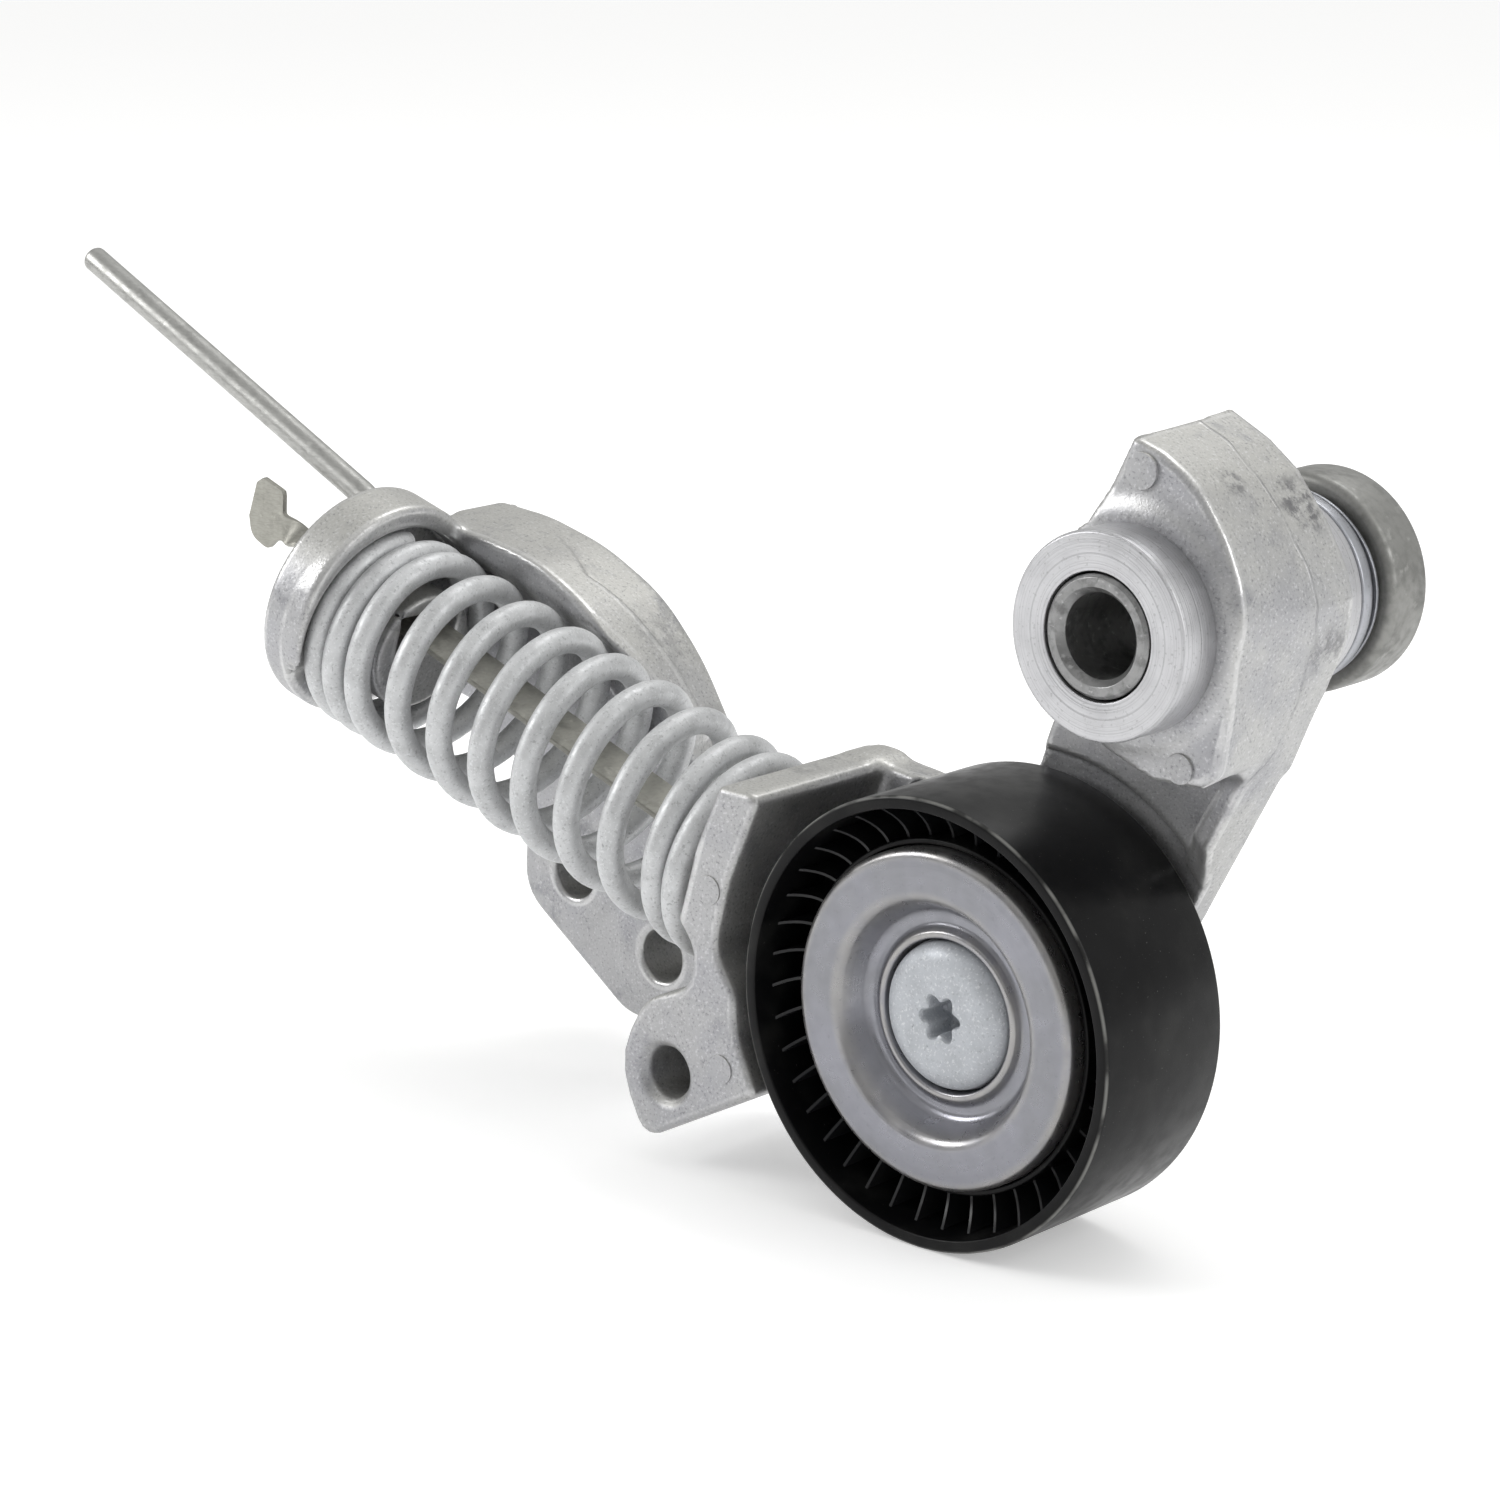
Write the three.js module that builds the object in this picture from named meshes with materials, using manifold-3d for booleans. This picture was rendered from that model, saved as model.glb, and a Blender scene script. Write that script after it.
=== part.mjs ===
// Automatic belt tensioner idler: a base bracket with a spring cup, a swinging arm on a steel
// pivot sleeve, a compression spring between the two and a plastic idler pulley on a ball bearing.
//
// Millimetres, +Z up. The origin is on the pivot axis, in the engine's mounting plane.
// Y is along the pivot axis and the pulley axis: the engine is on the +Y side of y = 0.
import * as THREE from 'three';
import { ConvexGeometry } from 'three/addons/geometries/ConvexGeometry.js';
import { mergeVertices } from 'three/addons/utils/BufferGeometryUtils.js';
import Module from 'manifold-3d';

const wasm = await Module();
wasm.setup();

const deg = THREE.MathUtils.degToRad;

// ---------------------------------------------------------------- driving dimensions

const GAP = 0.3; // clearance between neighbouring pieces

// Pulley and its bearing
const PULLEY = { x: -28, z: -59, front: -56, width: 26, r: 32.5, rim: 1.9 };
const BEARING = { y: -41, width: 12, rOuter: 20, rInner: 8.5, rPitch: 14.25, rBall: 3.2, balls: 8 };
const DUST_CAP = { r: 24.5, front: -53.6, sheet: 1.1 };
const BOLT = { rHead: 10.7, rShank: 4.9, underHead: -48.7, tip: -20 };

// Arm casting
const ARM = { front: -56, block: -46, web: -29, rear: -23 };
const BOSS = { r: 14.2, front: -54.4, rRear: 14, rear: -13.4, bore: 9.9 };
const SLEEVE = { rOuter: 8.4, rInner: 5.8, front: -54.6, chamfer: 0.7 };
const END_CAP = { r: 15.6, length: 8.5 };

// Spring, strap and cup. The spring's frame has its origin at the cup's floor, +X along the spring.
const SPRING = { x: -154.5, y: -39.5, z: -22.9, tilt: deg(17), rOuter: 16.4, wire: 3.9 };
// Turns are counted from the cup; the coils open at activeFrom and close again at activeTo.
const COILS = { start: deg(82), turns: 10.6, activeFrom: 2.1, activeTo: 9.3, closed: 4.2, active: 9.4 };
const CUP = { r: 18.6, rise: 2.3, back: -5.7, mouth: 3.2, rBore: 17.2, rSpigot: 9.8, spigot: 12.2 };
const STRAP = { x: -66.5, z: -50.9, tilt: deg(20.4), width: 9, thick: 0.9, rBar: 1.7, bar: 15 };
const STRAP_HEAD = { flatEnd: 112, neck: 2.2, from: 116.6, to: 123.4, half: 5.8 };
const PIN = { r: 2.1, lean: deg(35), station: 102.2, below: 6.5, leg: 11.3, bend: 5, handle: 77.2 };

// Base bracket
const BASE = { front: -21, rear: -10, wallFront: -28 };
const BASE_HOLES = [{ x: -109.4, z: -73.4, rPad: 11.5 }, { x: -128.4, z: -63.3, rPad: 10 }];
const MOUNT_PLANE = 0;
const BOLT_HOLE = 4.25; // base bracket bolts are M8

// ---------------------------------------------------------------- materials

const material = (color, roughness, metalness) =>
  new THREE.MeshStandardMaterial({ color, roughness, metalness });

const castAluminium = material(0xb9b9b2, 0.55, 0.85);
const springSteel = material(0xa9acac, 0.5, 0.7);
const brightSteel = material(0xb4b4b0, 0.3, 0.95);
const darkSteel = material(0x8c8a84, 0.45, 0.9);
const platedSteel = material(0xc3c3bb, 0.35, 0.9);
const zincFlake = material(0xb7bcbf, 0.5, 0.6);
const pressedSteel = material(0x9a99a0, 0.4, 0.85);
const tanSteel = material(0xa8a08c, 0.4, 0.85);
const blackPlastic = material(0x17191a, 0.45, 0);
const sealRubber = material(0x1b1c1d, 0.7, 0);
const cagePlastic = material(0x4a3a28, 0.6, 0);

// ---------------------------------------------------------------- solids and booleans

// Merges a closed geometry's vertices and turns its faces outward.
function closed(geometry) {
  geometry.deleteAttribute('normal');
  geometry.deleteAttribute('uv');
  const merged = mergeVertices(geometry, 1e-4);
  const p = merged.attributes.position.array;
  const index = Uint32Array.from(merged.index.array);
  let volume = 0;
  for (let i = 0; i < index.length; i += 3) {
    const [a, b, c] = [index[i] * 3, index[i + 1] * 3, index[i + 2] * 3];
    volume += p[a] * (p[b + 1] * p[c + 2] - p[b + 2] * p[c + 1]);
    volume += p[a + 1] * (p[b + 2] * p[c] - p[b] * p[c + 2]);
    volume += p[a + 2] * (p[b] * p[c + 1] - p[b + 1] * p[c]);
  }
  if (volume < 0) {
    for (let i = 0; i < index.length; i += 3) {
      [index[i], index[i + 1]] = [index[i + 1], index[i]];
    }
  }
  merged.setIndex(new THREE.BufferAttribute(index, 1));
  return merged;
}

function solid(geometry) {
  const body = closed(geometry);
  return new wasm.Manifold(new wasm.Mesh({
    numProp: 3,
    vertProperties: Float32Array.from(body.attributes.position.array),
    triVerts: body.index.array,
  }));
}

const join = (...bodies) => bodies.reduce((sum, body) => sum.add(body));
const cut = (body, ...tools) => tools.reduce((rest, tool) => rest.subtract(tool), body);

function geometryOf(body) {
  const mesh = body.getMesh();
  const geometry = new THREE.BufferGeometry();
  geometry.setAttribute('position', new THREE.BufferAttribute(mesh.vertProperties, 3));
  geometry.setIndex(new THREE.BufferAttribute(mesh.triVerts, 1));
  return geometry;
}

// A closed shape from [x, z] corners; a third number rounds that corner with this radius.
function outline(corners) {
  const shape = new THREE.Shape();
  corners.forEach(([x, z, radius = 0], i) => {
    const at = new THREE.Vector2(x, z);
    const [bx, bz] = corners[(i + corners.length - 1) % corners.length];
    const [nx, nz] = corners[(i + 1) % corners.length];
    const back = new THREE.Vector2(bx, bz).sub(at);
    const next = new THREE.Vector2(nx, nz).sub(at);
    const half = back.angleTo(next) / 2;
    const reach = Math.min(radius / Math.tan(half), back.length() * 0.49, next.length() * 0.49);
    const start = at.clone().addScaledVector(back.normalize(), reach);
    const end = at.clone().addScaledVector(next.normalize(), reach);
    if (i === 0) shape.moveTo(start.x, start.y);
    else shape.lineTo(start.x, start.y);
    if (reach > 0) shape.quadraticCurveTo(at.x, at.y, end.x, end.y);
  });
  shape.closePath();
  return shape;
}

// An outline in the XZ plane, made solid from yFront to yRear.
function plate(shape, yFront, yRear, curveSegments = 5) {
  const geometry = new THREE.ExtrudeGeometry(shape, {
    depth: yRear - yFront,
    bevelEnabled: false,
    curveSegments,
  });
  return geometry.rotateX(Math.PI / 2).translate(0, yRear, 0);
}

// A round bar along Y.
function bar(x, z, r, yFront, yRear, segments = 40) {
  const geometry = new THREE.CylinderGeometry(r, r, yRear - yFront, segments);
  return geometry.translate(x, (yFront + yRear) / 2, z);
}

// A turned body about the Y axis through (x, z), from [radius, y] points.
function turned(points, segments = 48, x = 0, z = 0) {
  const profile = points.map(([r, y]) => new THREE.Vector2(r, y));
  return new THREE.LatheGeometry(profile, segments).translate(x, 0, z);
}

// The same, as a ring: the profile is closed on itself.
const ring = (points, segments, x, z) => turned([...points, points[0]], segments, x, z);

// ---------------------------------------------------------------- spring frame

const springFrame = new THREE.Matrix4()
  .makeRotationY(SPRING.tilt)
  .setPosition(SPRING.x, SPRING.y, SPRING.z);

// A turned body about the spring's axis, from [radius, distance from the cup's floor] points.
const alongSpring = (points, segments = 48) =>
  turned(points, segments).rotateZ(-Math.PI / 2).applyMatrix4(springFrame);

// The strap's frame: origin at its hook in the arm, +X towards the cup, +Z across its thickness.
const strapFrame = new THREE.Matrix4()
  .makeRotationY(STRAP.tilt)
  .multiply(new THREE.Matrix4().makeScale(-1, 1, 1))
  .setPosition(STRAP.x, SPRING.y, STRAP.z);

const strapBox = (fromX, toX, width, fromZ, toZ) =>
  new THREE.BoxGeometry(toX - fromX, width, toZ - fromZ)
    .translate((fromX + toX) / 2, 0, (fromZ + toZ) / 2)
    .applyMatrix4(strapFrame);

// A wedge about the strap's line that the strap can swing in, from half height hA to hB.
function strapWedge(fromX, toX, width, below, above) {
  const shape = new THREE.Shape([
    new THREE.Vector2(fromX, -below[0]),
    new THREE.Vector2(toX, -below[1]),
    new THREE.Vector2(toX, above[1]),
    new THREE.Vector2(fromX, above[0]),
  ]);
  return plate(shape, -width / 2, width / 2).applyMatrix4(strapFrame);
}

// ---------------------------------------------------------------- base bracket

const BASE_OUTLINE = outline([
  [-155, -8.4, 2], [-143, -8.9, 24], [-121, -15.6, 24], [-104.4, -36.5, 30], [-97.5, -58, 30],
  [-97, -86.5, 12], [-118, -84.6, 11], [-140.5, -68.5, 10], [-139.3, -50, 12], [-150, -39.5, 8],
  [-164, -36, 3],
]);

const BASE_POCKET = outline([
  [-150, -14, 4], [-130, -17, 8], [-110, -40, 8], [-105, -57, 5], [-117, -60, 5],
  [-128, -48, 5], [-139, -38, 5], [-150, -33, 4],
]);

const WALL_OUTLINE = outline([
  [-155, -8.4], [-143, -8.9, 24], [-121, -15.6, 24], [-104.4, -36.5, 8], [-109, -40, 2],
  [-131, -17, 12], [-148, -14.5, 6], [-157, -14.5],
]);

function baseBracket() {
  const rim = alongSpring([
    [0, CUP.back], [CUP.r - 3, CUP.back], [CUP.r - 0.8, CUP.back + 1], [CUP.r, CUP.back + 3.2],
    [CUP.r, CUP.mouth - 0.6], [CUP.r - 0.6, CUP.mouth], [0, CUP.mouth],
  ], 56).translate(CUP.rise * Math.sin(SPRING.tilt), 0, CUP.rise * Math.cos(SPRING.tilt));
  const spigot = alongSpring([
    [0, -1], [CUP.rSpigot, -1], [CUP.rSpigot, CUP.spigot - 1], [CUP.rSpigot - 1, CUP.spigot],
    [0, CUP.spigot],
  ], 40);
  const bore = alongSpring([[0, 0], [CUP.rBore, 0], [CUP.rBore, 96], [0, 96]], 56);
  const pads = BASE_HOLES.map(({ x, z, rPad }) =>
    solid(bar(x, z, rPad - 2, BASE.front, MOUNT_PLANE)));
  const holes = BASE_HOLES.map(({ x, z }) =>
    solid(bar(x, z, BOLT_HOLE, BASE.front - 1, MOUNT_PLANE + 1, 28)));
  const body = join(
    solid(plate(BASE_OUTLINE, BASE.front, BASE.rear)),
    solid(plate(WALL_OUTLINE, BASE.wallFront, BASE.rear)),
    solid(rim),
    ...pads,
  );
  const hollowed = cut(body, solid(bore), solid(plate(BASE_POCKET, BASE.rear - 5, BASE.rear + 1)));
  const strapSlot = strapWedge(78, 108, 12.4, [3.2, 2.4], [3.4, 1.6]);
  return cut(join(hollowed, solid(spigot)), ...holes, solid(strapSlot));
}

// ---------------------------------------------------------------- arm

// The pivot block's front and rear faces; its sides run straight from one to the other.
const BLOCK_FRONT = [
  [-1.1, 25.2], [3.3, 23.8], [7, 21.6], [9.9, 19.3], [14, 13.5], [16.4, 7.8], [16.9, 2.7],
  [14.2, -18.4], [11.2, -20.3], [7.9, -20.6], [3, -20.4], [-0.3, -19.3], [-5, -17], [-13.5, 1.5],
];
const BLOCK_REAR = [
  [-1.6, 26.2], [5, 22.8], [9.6, 19.3], [14.6, 12.9], [18.1, 6.6], [19.2, 2.7], [18.4, -2.9],
  [13.6, -12], [9, -21.5], [3, -22], [-13.5, -8], [-13.5, 1.5],
];

const WEB_OUTLINE = outline([
  [-1.6, 26, 1.5], [8.5, 20.5, 18], [19.6, 4, 12], [17, -6, 12], [9, -22, 30], [-4.7, -47, 40],
  [-12, -74, 16], [-40, -81, 20], [-62, -76], [-64, -31, 2], [-51, -32.8, 10], [-38, -35.4, 10],
  [-30, -28.4, 3], [-26.9, -20.4, 6],
]);

const RIB_OUTLINE = outline([
  [13.6, -10], [9, -22, 30], [-4.7, -47, 10], [-8.5, -45.5], [5.2, -21.6, 30], [9, -10],
]);

const SEAT_OUTLINE = outline([
  [-65.6, -31.3, 1], [-57.6, -31.6, 1.5], [-63.8, -45.5, 12], [-66.6, -56, 6], [-62.6, -62, 6],
  [-62.3, -68.5, 10], [-58.6, -76.3, 0.8], [-80.8, -88, 3], [-86.4, -76.5, 14], [-80.6, -66.2, 8],
  [-71.2, -62.5, 5], [-70.6, -56.6, 5], [-75, -51.2, 2],
]);

const LOCK_HOLE = { x: -76.3, z: -76.8, r: 4, rMouth: 5.2 };

function arm() {
  const pocket = alongSpring([
    [0, SPRING_LENGTH - 14], [SPRING.rOuter + 0.6, SPRING_LENGTH - 14],
    [SPRING.rOuter + 0.6, SPRING_LENGTH + GAP], [0, SPRING_LENGTH + GAP],
  ], 40);
  const pivotBoss = turned([
    [0, BOSS.front], [BOSS.r - 0.5, BOSS.front], [BOSS.r, BOSS.front + 0.5],
    [BOSS.r, ARM.block - 0.6], [BOSS.r + 1.2, ARM.block + 1], [BOSS.r + 1.2, ARM.rear],
    [BOSS.rRear, ARM.rear], [BOSS.rRear, BOSS.rear], [0, BOSS.rear],
  ]);
  const shoulder = BEARING.y + BEARING.width / 2 + GAP;
  const pulleyBoss = turned([
    [0, ARM.block], [BEARING.rInner - GAP, ARM.block],
    [BEARING.rInner - GAP, shoulder], [11.4, shoulder], [12.4, ARM.web + 0.5],
    [12.4, ARM.rear + 4], [0, ARM.rear + 4],
  ], 40, PULLEY.x, PULLEY.z);
  const block = new ConvexGeometry([
    ...BLOCK_FRONT.map(([x, z]) => new THREE.Vector3(x, ARM.block, z)),
    ...BLOCK_REAR.map(([x, z]) => new THREE.Vector3(x, ARM.rear, z)),
  ]);
  const pulleySweep = bar(PULLEY.x, PULLEY.z, PULLEY.r + 1.2, ARM.web - 4, ARM.web - 0.4, 64);
  const body = join(
    solid(block),
    solid(plate(WEB_OUTLINE, ARM.web, ARM.rear)),
    cut(solid(plate(RIB_OUTLINE, ARM.web - 3, ARM.rear)), solid(pulleySweep)),
    solid(plate(SEAT_OUTLINE, ARM.front, ARM.rear)),
    solid(pivotBoss),
    solid(pulleyBoss),
  );
  const hookPocket = new THREE.CylinderGeometry(STRAP.rBar + 0.5, STRAP.rBar + 0.5, STRAP.bar + 1, 20)
    .applyMatrix4(strapFrame);
  const lockHole = turned([
    [0, ARM.front - 1], [LOCK_HOLE.rMouth + 1, ARM.front - 1], [LOCK_HOLE.r, ARM.front + 1.2],
    [LOCK_HOLE.r, ARM.rear + 1], [0, ARM.rear + 1],
  ], 28, LOCK_HOLE.x, LOCK_HOLE.z);
  return cut(
    body,
    solid(pocket),
    solid(bar(0, 0, BOSS.bore, BOSS.front - 1, BOSS.rear + 1)),
    solid(bar(PULLEY.x, PULLEY.z, BOLT.rShank + GAP, BOLT.underHead, ARM.rear + 5, 28)),
    solid(lockHole),
    solid(hookPocket),
    solid(strapBox(-6, 0, STRAP.bar + 1, -STRAP.rBar - 0.5, STRAP.rBar + 0.5)),
    solid(strapWedge(0, 12, STRAP.width + 0.8, [0.9, 4.4], [0.9, 1.3])),
  );
}

// ---------------------------------------------------------------- pivot stack

function pivotSleeve() {
  const { rOuter, rInner, front, chamfer } = SLEEVE;
  return ring([
    [rInner, front + chamfer], [rInner + chamfer, front], [rOuter - 0.4, front],
    [rOuter, front + 0.4], [rOuter, MOUNT_PLANE], [rInner, MOUNT_PLANE],
  ], 40);
}

const pivotBush = (yFront, yRear) =>
  ring([[SLEEVE.rOuter + 0.25, yFront], [BOSS.bore - 0.25, yFront],
    [BOSS.bore - 0.25, yRear], [SLEEVE.rOuter + 0.25, yRear]], 40);

function frictionDisc() {
  const front = BOSS.rear + GAP;
  return ring([
    [SLEEVE.rOuter + 0.6, front], [13.9, front], [13.9, front + 2.4],
    [SLEEVE.rOuter + 0.6, front + 2.4],
  ], 48);
}

function waveWasher() {
  const washer = ring([[9.1, -10.05], [13.7, -10.05], [13.7, -9.45], [9.1, -9.45]], 48);
  const p = washer.attributes.position;
  for (let i = 0; i < p.count; i += 1) {
    const wave = 0.35 * Math.cos(3 * Math.atan2(p.getZ(i), p.getX(i)));
    p.setY(i, p.getY(i) + wave);
  }
  return washer;
}

function endCap() {
  const front = MOUNT_PLANE - END_CAP.length;
  return ring([
    [SLEEVE.rOuter + GAP, front], [END_CAP.r - 0.8, front], [END_CAP.r, front + 0.8],
    [END_CAP.r, MOUNT_PLANE - 0.8], [END_CAP.r - 0.8, MOUNT_PLANE],
    [SLEEVE.rOuter + GAP, MOUNT_PLANE],
  ], 48);
}

// ---------------------------------------------------------------- pulley and bearing

function pulleyShell() {
  const { front, width, r, rim } = PULLEY;
  const rear = front + width;
  const middle = front + width / 2;
  const rSeat = BEARING.rOuter + GAP;
  const rHub = DUST_CAP.r + 0.4;
  return ring([
    [rSeat, BEARING.y + 6.4], [rSeat, BEARING.y - 6.4], [rHub, BEARING.y - 7.6],
    [rHub, DUST_CAP.front + 0.2], [rHub + 1.1, DUST_CAP.front + 0.2],
    [rHub + 1.5, middle - 1.5], [r - rim - 0.4, middle - 1.5], [r - rim, front],
    [r - 0.4, front], [r, front + 0.4], [r, rear - 0.4], [r - 0.4, rear],
    [r - rim, rear], [r - rim - 0.4, middle + 1.5], [rHub + 1.5, middle + 1.5],
    [rHub + 0.4, BEARING.y + 6.4],
  ], 56, PULLEY.x, PULLEY.z);
}

// A raceway ring's profile: a groove of the ball's radius in the wall that faces the balls.
function raceway(rWall, rGroove, rBack) {
  const half = BEARING.width / 2;
  const grooveHalf = 2.4;
  const groove = [];
  for (let i = 0; i <= 4; i += 1) {
    const t = -1 + i / 2;
    const depth = (rGroove - rWall) * Math.sqrt(1 - 0.9 * t * t);
    groove.push([rWall + depth, BEARING.y + t * grooveHalf]);
  }
  return ring([
    [rBack, BEARING.y - half], [rWall, BEARING.y - half], [rWall, BEARING.y - grooveHalf],
    ...groove, [rWall, BEARING.y + grooveHalf], [rWall, BEARING.y + half],
    [rBack, BEARING.y + half],
  ], 32, PULLEY.x, PULLEY.z);
}

const outerRing = () =>
  raceway(16.9, BEARING.rPitch + BEARING.rBall + GAP, BEARING.rOuter);
const innerRing = () =>
  raceway(11.7, BEARING.rPitch - BEARING.rBall - GAP, BEARING.rInner);

function ballPlace(i) {
  const angle = (i / BEARING.balls) * Math.PI * 2;
  return new THREE.Vector3(
    PULLEY.x + BEARING.rPitch * Math.cos(angle),
    BEARING.y,
    PULLEY.z + BEARING.rPitch * Math.sin(angle),
  );
}

function bearingCage() {
  const half = 4.4;
  const band = ring([
    [BEARING.rPitch - 1, BEARING.y - half], [BEARING.rPitch + 1, BEARING.y - half],
    [BEARING.rPitch + 1, BEARING.y + half], [BEARING.rPitch - 1, BEARING.y + half],
  ], 32, PULLEY.x, PULLEY.z);
  const pockets = Array.from({ length: BEARING.balls }, (_, i) => {
    const at = ballPlace(i);
    return solid(new THREE.IcosahedronGeometry(BEARING.rBall + 0.4, 1).translate(at.x, at.y, at.z));
  });
  return cut(solid(band), ...pockets);
}

function bearingSeal(side) {
  const inner = BEARING.y + side * 5;
  const outer = BEARING.y + side * 5.7;
  return ring([[12, inner], [16.6, inner], [16.6, outer], [12, outer]], 32, PULLEY.x, PULLEY.z);
}

function dustCap() {
  const { r, front, sheet } = DUST_CAP;
  const floor = BOLT.underHead + GAP;
  return ring([
    [BOLT.rShank + GAP, floor], [11.6, floor], [12.4, floor - 1], [13.4, floor - 1.2],
    [14.4, floor - 0.4], [15.4, floor - 0.9], [16.8, front], [r - 1, front], [r, front + 1],
    [r, front + 3.4], [r - sheet, front + 3.4], [r - sheet, front + 1.4], [r - 1.5, front + sheet],
    [17.4, front + sheet], [16.2, floor + 0.3], [15, floor + 0.9], [11.5, floor + 1],
    [BOLT.rShank + GAP, floor + 1],
  ], 36, PULLEY.x, PULLEY.z);
}

// Low domed flange head with a six-lobed socket.
function pulleyBolt() {
  const { rHead, rShank, underHead, tip } = BOLT;
  const body = turned([
    [0, underHead - 2.3], [6.8, underHead - 2.2], [9.4, underHead - 1.6], [rHead, underHead - 0.7],
    [rHead, underHead], [rShank, underHead], [rShank, tip - 1], [rShank - 1, tip], [0, tip],
  ], 40, PULLEY.x, PULLEY.z);
  const socket = new THREE.Shape();
  const steps = 24;
  for (let i = 0; i <= steps; i += 1) {
    const angle = (i / steps) * Math.PI * 2;
    const r = 3.3 + 0.55 * Math.cos(6 * angle);
    const point = [PULLEY.x + r * Math.cos(angle), PULLEY.z + r * Math.sin(angle)];
    if (i === 0) socket.moveTo(...point);
    else socket.lineTo(...point);
  }
  return cut(solid(body), solid(plate(socket, underHead - 5, underHead + 0.4)));
}

// ---------------------------------------------------------------- spring, strap and pin

// Distance of the wire's centre from the cup's floor after some turns.
function coilStation(turn) {
  const { activeFrom, activeTo, closed: closedPitch, active } = COILS;
  const opened = THREE.MathUtils.clamp(turn, activeFrom, activeTo) - activeFrom;
  return SPRING.wire / 2 + closedPitch * turn + (active - closedPitch) * opened;
}

const SPRING_LENGTH = coilStation(COILS.turns) + SPRING.wire / 2;

class SpringCentreLine extends THREE.Curve {
  getPoint(t, target = new THREE.Vector3()) {
    const turn = t * COILS.turns;
    const angle = COILS.start + turn * 2 * Math.PI;
    const r = SPRING.rOuter - SPRING.wire / 2;
    return target
      .set(coilStation(turn), r * Math.cos(angle), r * Math.sin(angle))
      .applyMatrix4(springFrame);
  }
}

function roundSection(r, sides) {
  const shape = new THREE.Shape();
  for (let i = 0; i < sides; i += 1) {
    const angle = (i / sides) * Math.PI * 2;
    const point = [r * Math.cos(angle), r * Math.sin(angle)];
    if (i === 0) shape.moveTo(...point);
    else shape.lineTo(...point);
  }
  shape.closePath();
  return shape;
}

const swept = (r, sides, path, steps) =>
  new THREE.ExtrudeGeometry(roundSection(r, sides), { steps, extrudePath: path });

function compressionSpring() {
  return swept(SPRING.wire / 2, 6, new SpringCentreLine(), Math.round(COILS.turns * 13));
}

function tensionStrap() {
  const { width, thick, rBar, bar: barLength } = STRAP;
  const { flatEnd, neck, from, to, half } = STRAP_HEAD;
  const strip = solid(strapBox(0, flatEnd, width, -thick / 2, thick / 2));
  const hook = solid(new THREE.CylinderGeometry(rBar, rBar, barLength, 20).applyMatrix4(strapFrame));
  const head = outline([
    [flatEnd - 3, neck], [from - 1.5, neck, 1.5], [from + 0.6, half, 1], [to - 1, half - 1, 1.5],
    [to, 2], [to, -half + 1, 1], [to - 1.2, -half, 0.5], [from + 0.9, -half, 0.5],
    [from - 0.2, -neck, 0.8], [flatEnd - 3, -neck],
  ]);
  const headPlate = plate(head, -thick / 2, thick / 2).applyMatrix4(strapFrame);
  const slot = strapPinFrame(new THREE.CylinderGeometry(PIN.r + 0.4, PIN.r + 0.4, 12, 20));
  return cut(join(strip, hook, solid(headPlate)), solid(slot));
}

// Turns a body made along Y into the pin's leg: it leans back from the strap's normal.
const strapPinFrame = (geometry) =>
  geometry
    .rotateX(Math.PI / 2 - PIN.lean)
    .translate(PIN.station, 0, 0)
    .applyMatrix4(strapFrame);

function lockingPin() {
  const up = new THREE.Vector3(0, Math.sin(PIN.lean), Math.cos(PIN.lean));
  const out = new THREE.Vector3(0.995, 0, 0.1025).normalize();
  const foot = new THREE.Vector3(PIN.station, 0, 0).addScaledVector(up, -PIN.below);
  const corner = new THREE.Vector3(PIN.station, 0, 0).addScaledVector(up, PIN.leg);
  const path = new THREE.CurvePath();
  const bendStart = corner.clone().addScaledVector(up, -PIN.bend);
  const bendEnd = corner.clone().addScaledVector(out, PIN.bend);
  const tip = corner.clone().addScaledVector(out, PIN.handle);
  path.add(new THREE.LineCurve3(foot, bendStart));
  path.add(new THREE.QuadraticBezierCurve3(bendStart, corner, bendEnd));
  path.add(new THREE.LineCurve3(bendEnd, tip));
  return swept(PIN.r, 12, path, 40).applyMatrix4(strapFrame);
}

// ---------------------------------------------------------------- assembly

const group = new THREE.Group();

function add(name, shape, look) {
  const geometry = shape instanceof THREE.BufferGeometry ? closed(shape) : geometryOf(shape);
  const mesh = new THREE.Mesh(geometry, look);
  mesh.name = name;
  group.add(mesh);
  return mesh;
}

add('base_bracket', baseBracket(), castAluminium);
add('tensioner_arm', arm(), castAluminium);
add('compression_spring', compressionSpring(), springSteel);
add('tension_strap', tensionStrap(), tanSteel);
add('locking_pin', lockingPin(), brightSteel);

add('pivot_sleeve', pivotSleeve(), darkSteel);
add('pivot_bush_front', pivotBush(BOSS.front + 0.8, -34.3), blackPlastic);
add('pivot_bush_rear', pivotBush(-33.7, BOSS.rear), blackPlastic);
add('friction_disc', frictionDisc(), platedSteel);
add('wave_washer', waveWasher(), platedSteel);
add('pivot_end_cap', endCap(), darkSteel);

add('pulley_shell', pulleyShell(), blackPlastic);
add('bearing_outer_ring', outerRing(), brightSteel);
add('bearing_inner_ring', innerRing(), brightSteel);
add('bearing_cage', bearingCage(), cagePlastic);
add('bearing_seal_front', bearingSeal(-1), sealRubber);
add('bearing_seal_rear', bearingSeal(1), sealRubber);
for (let i = 0; i < BEARING.balls; i += 1) {
  const ball = add(`bearing_ball_${i + 1}`, new THREE.IcosahedronGeometry(BEARING.rBall, 1), brightSteel);
  ball.position.copy(ballPlace(i));
}
add('dust_cap', dustCap(), pressedSteel);
add('pulley_bolt', pulleyBolt(), zincFlake);

export default group;
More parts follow.
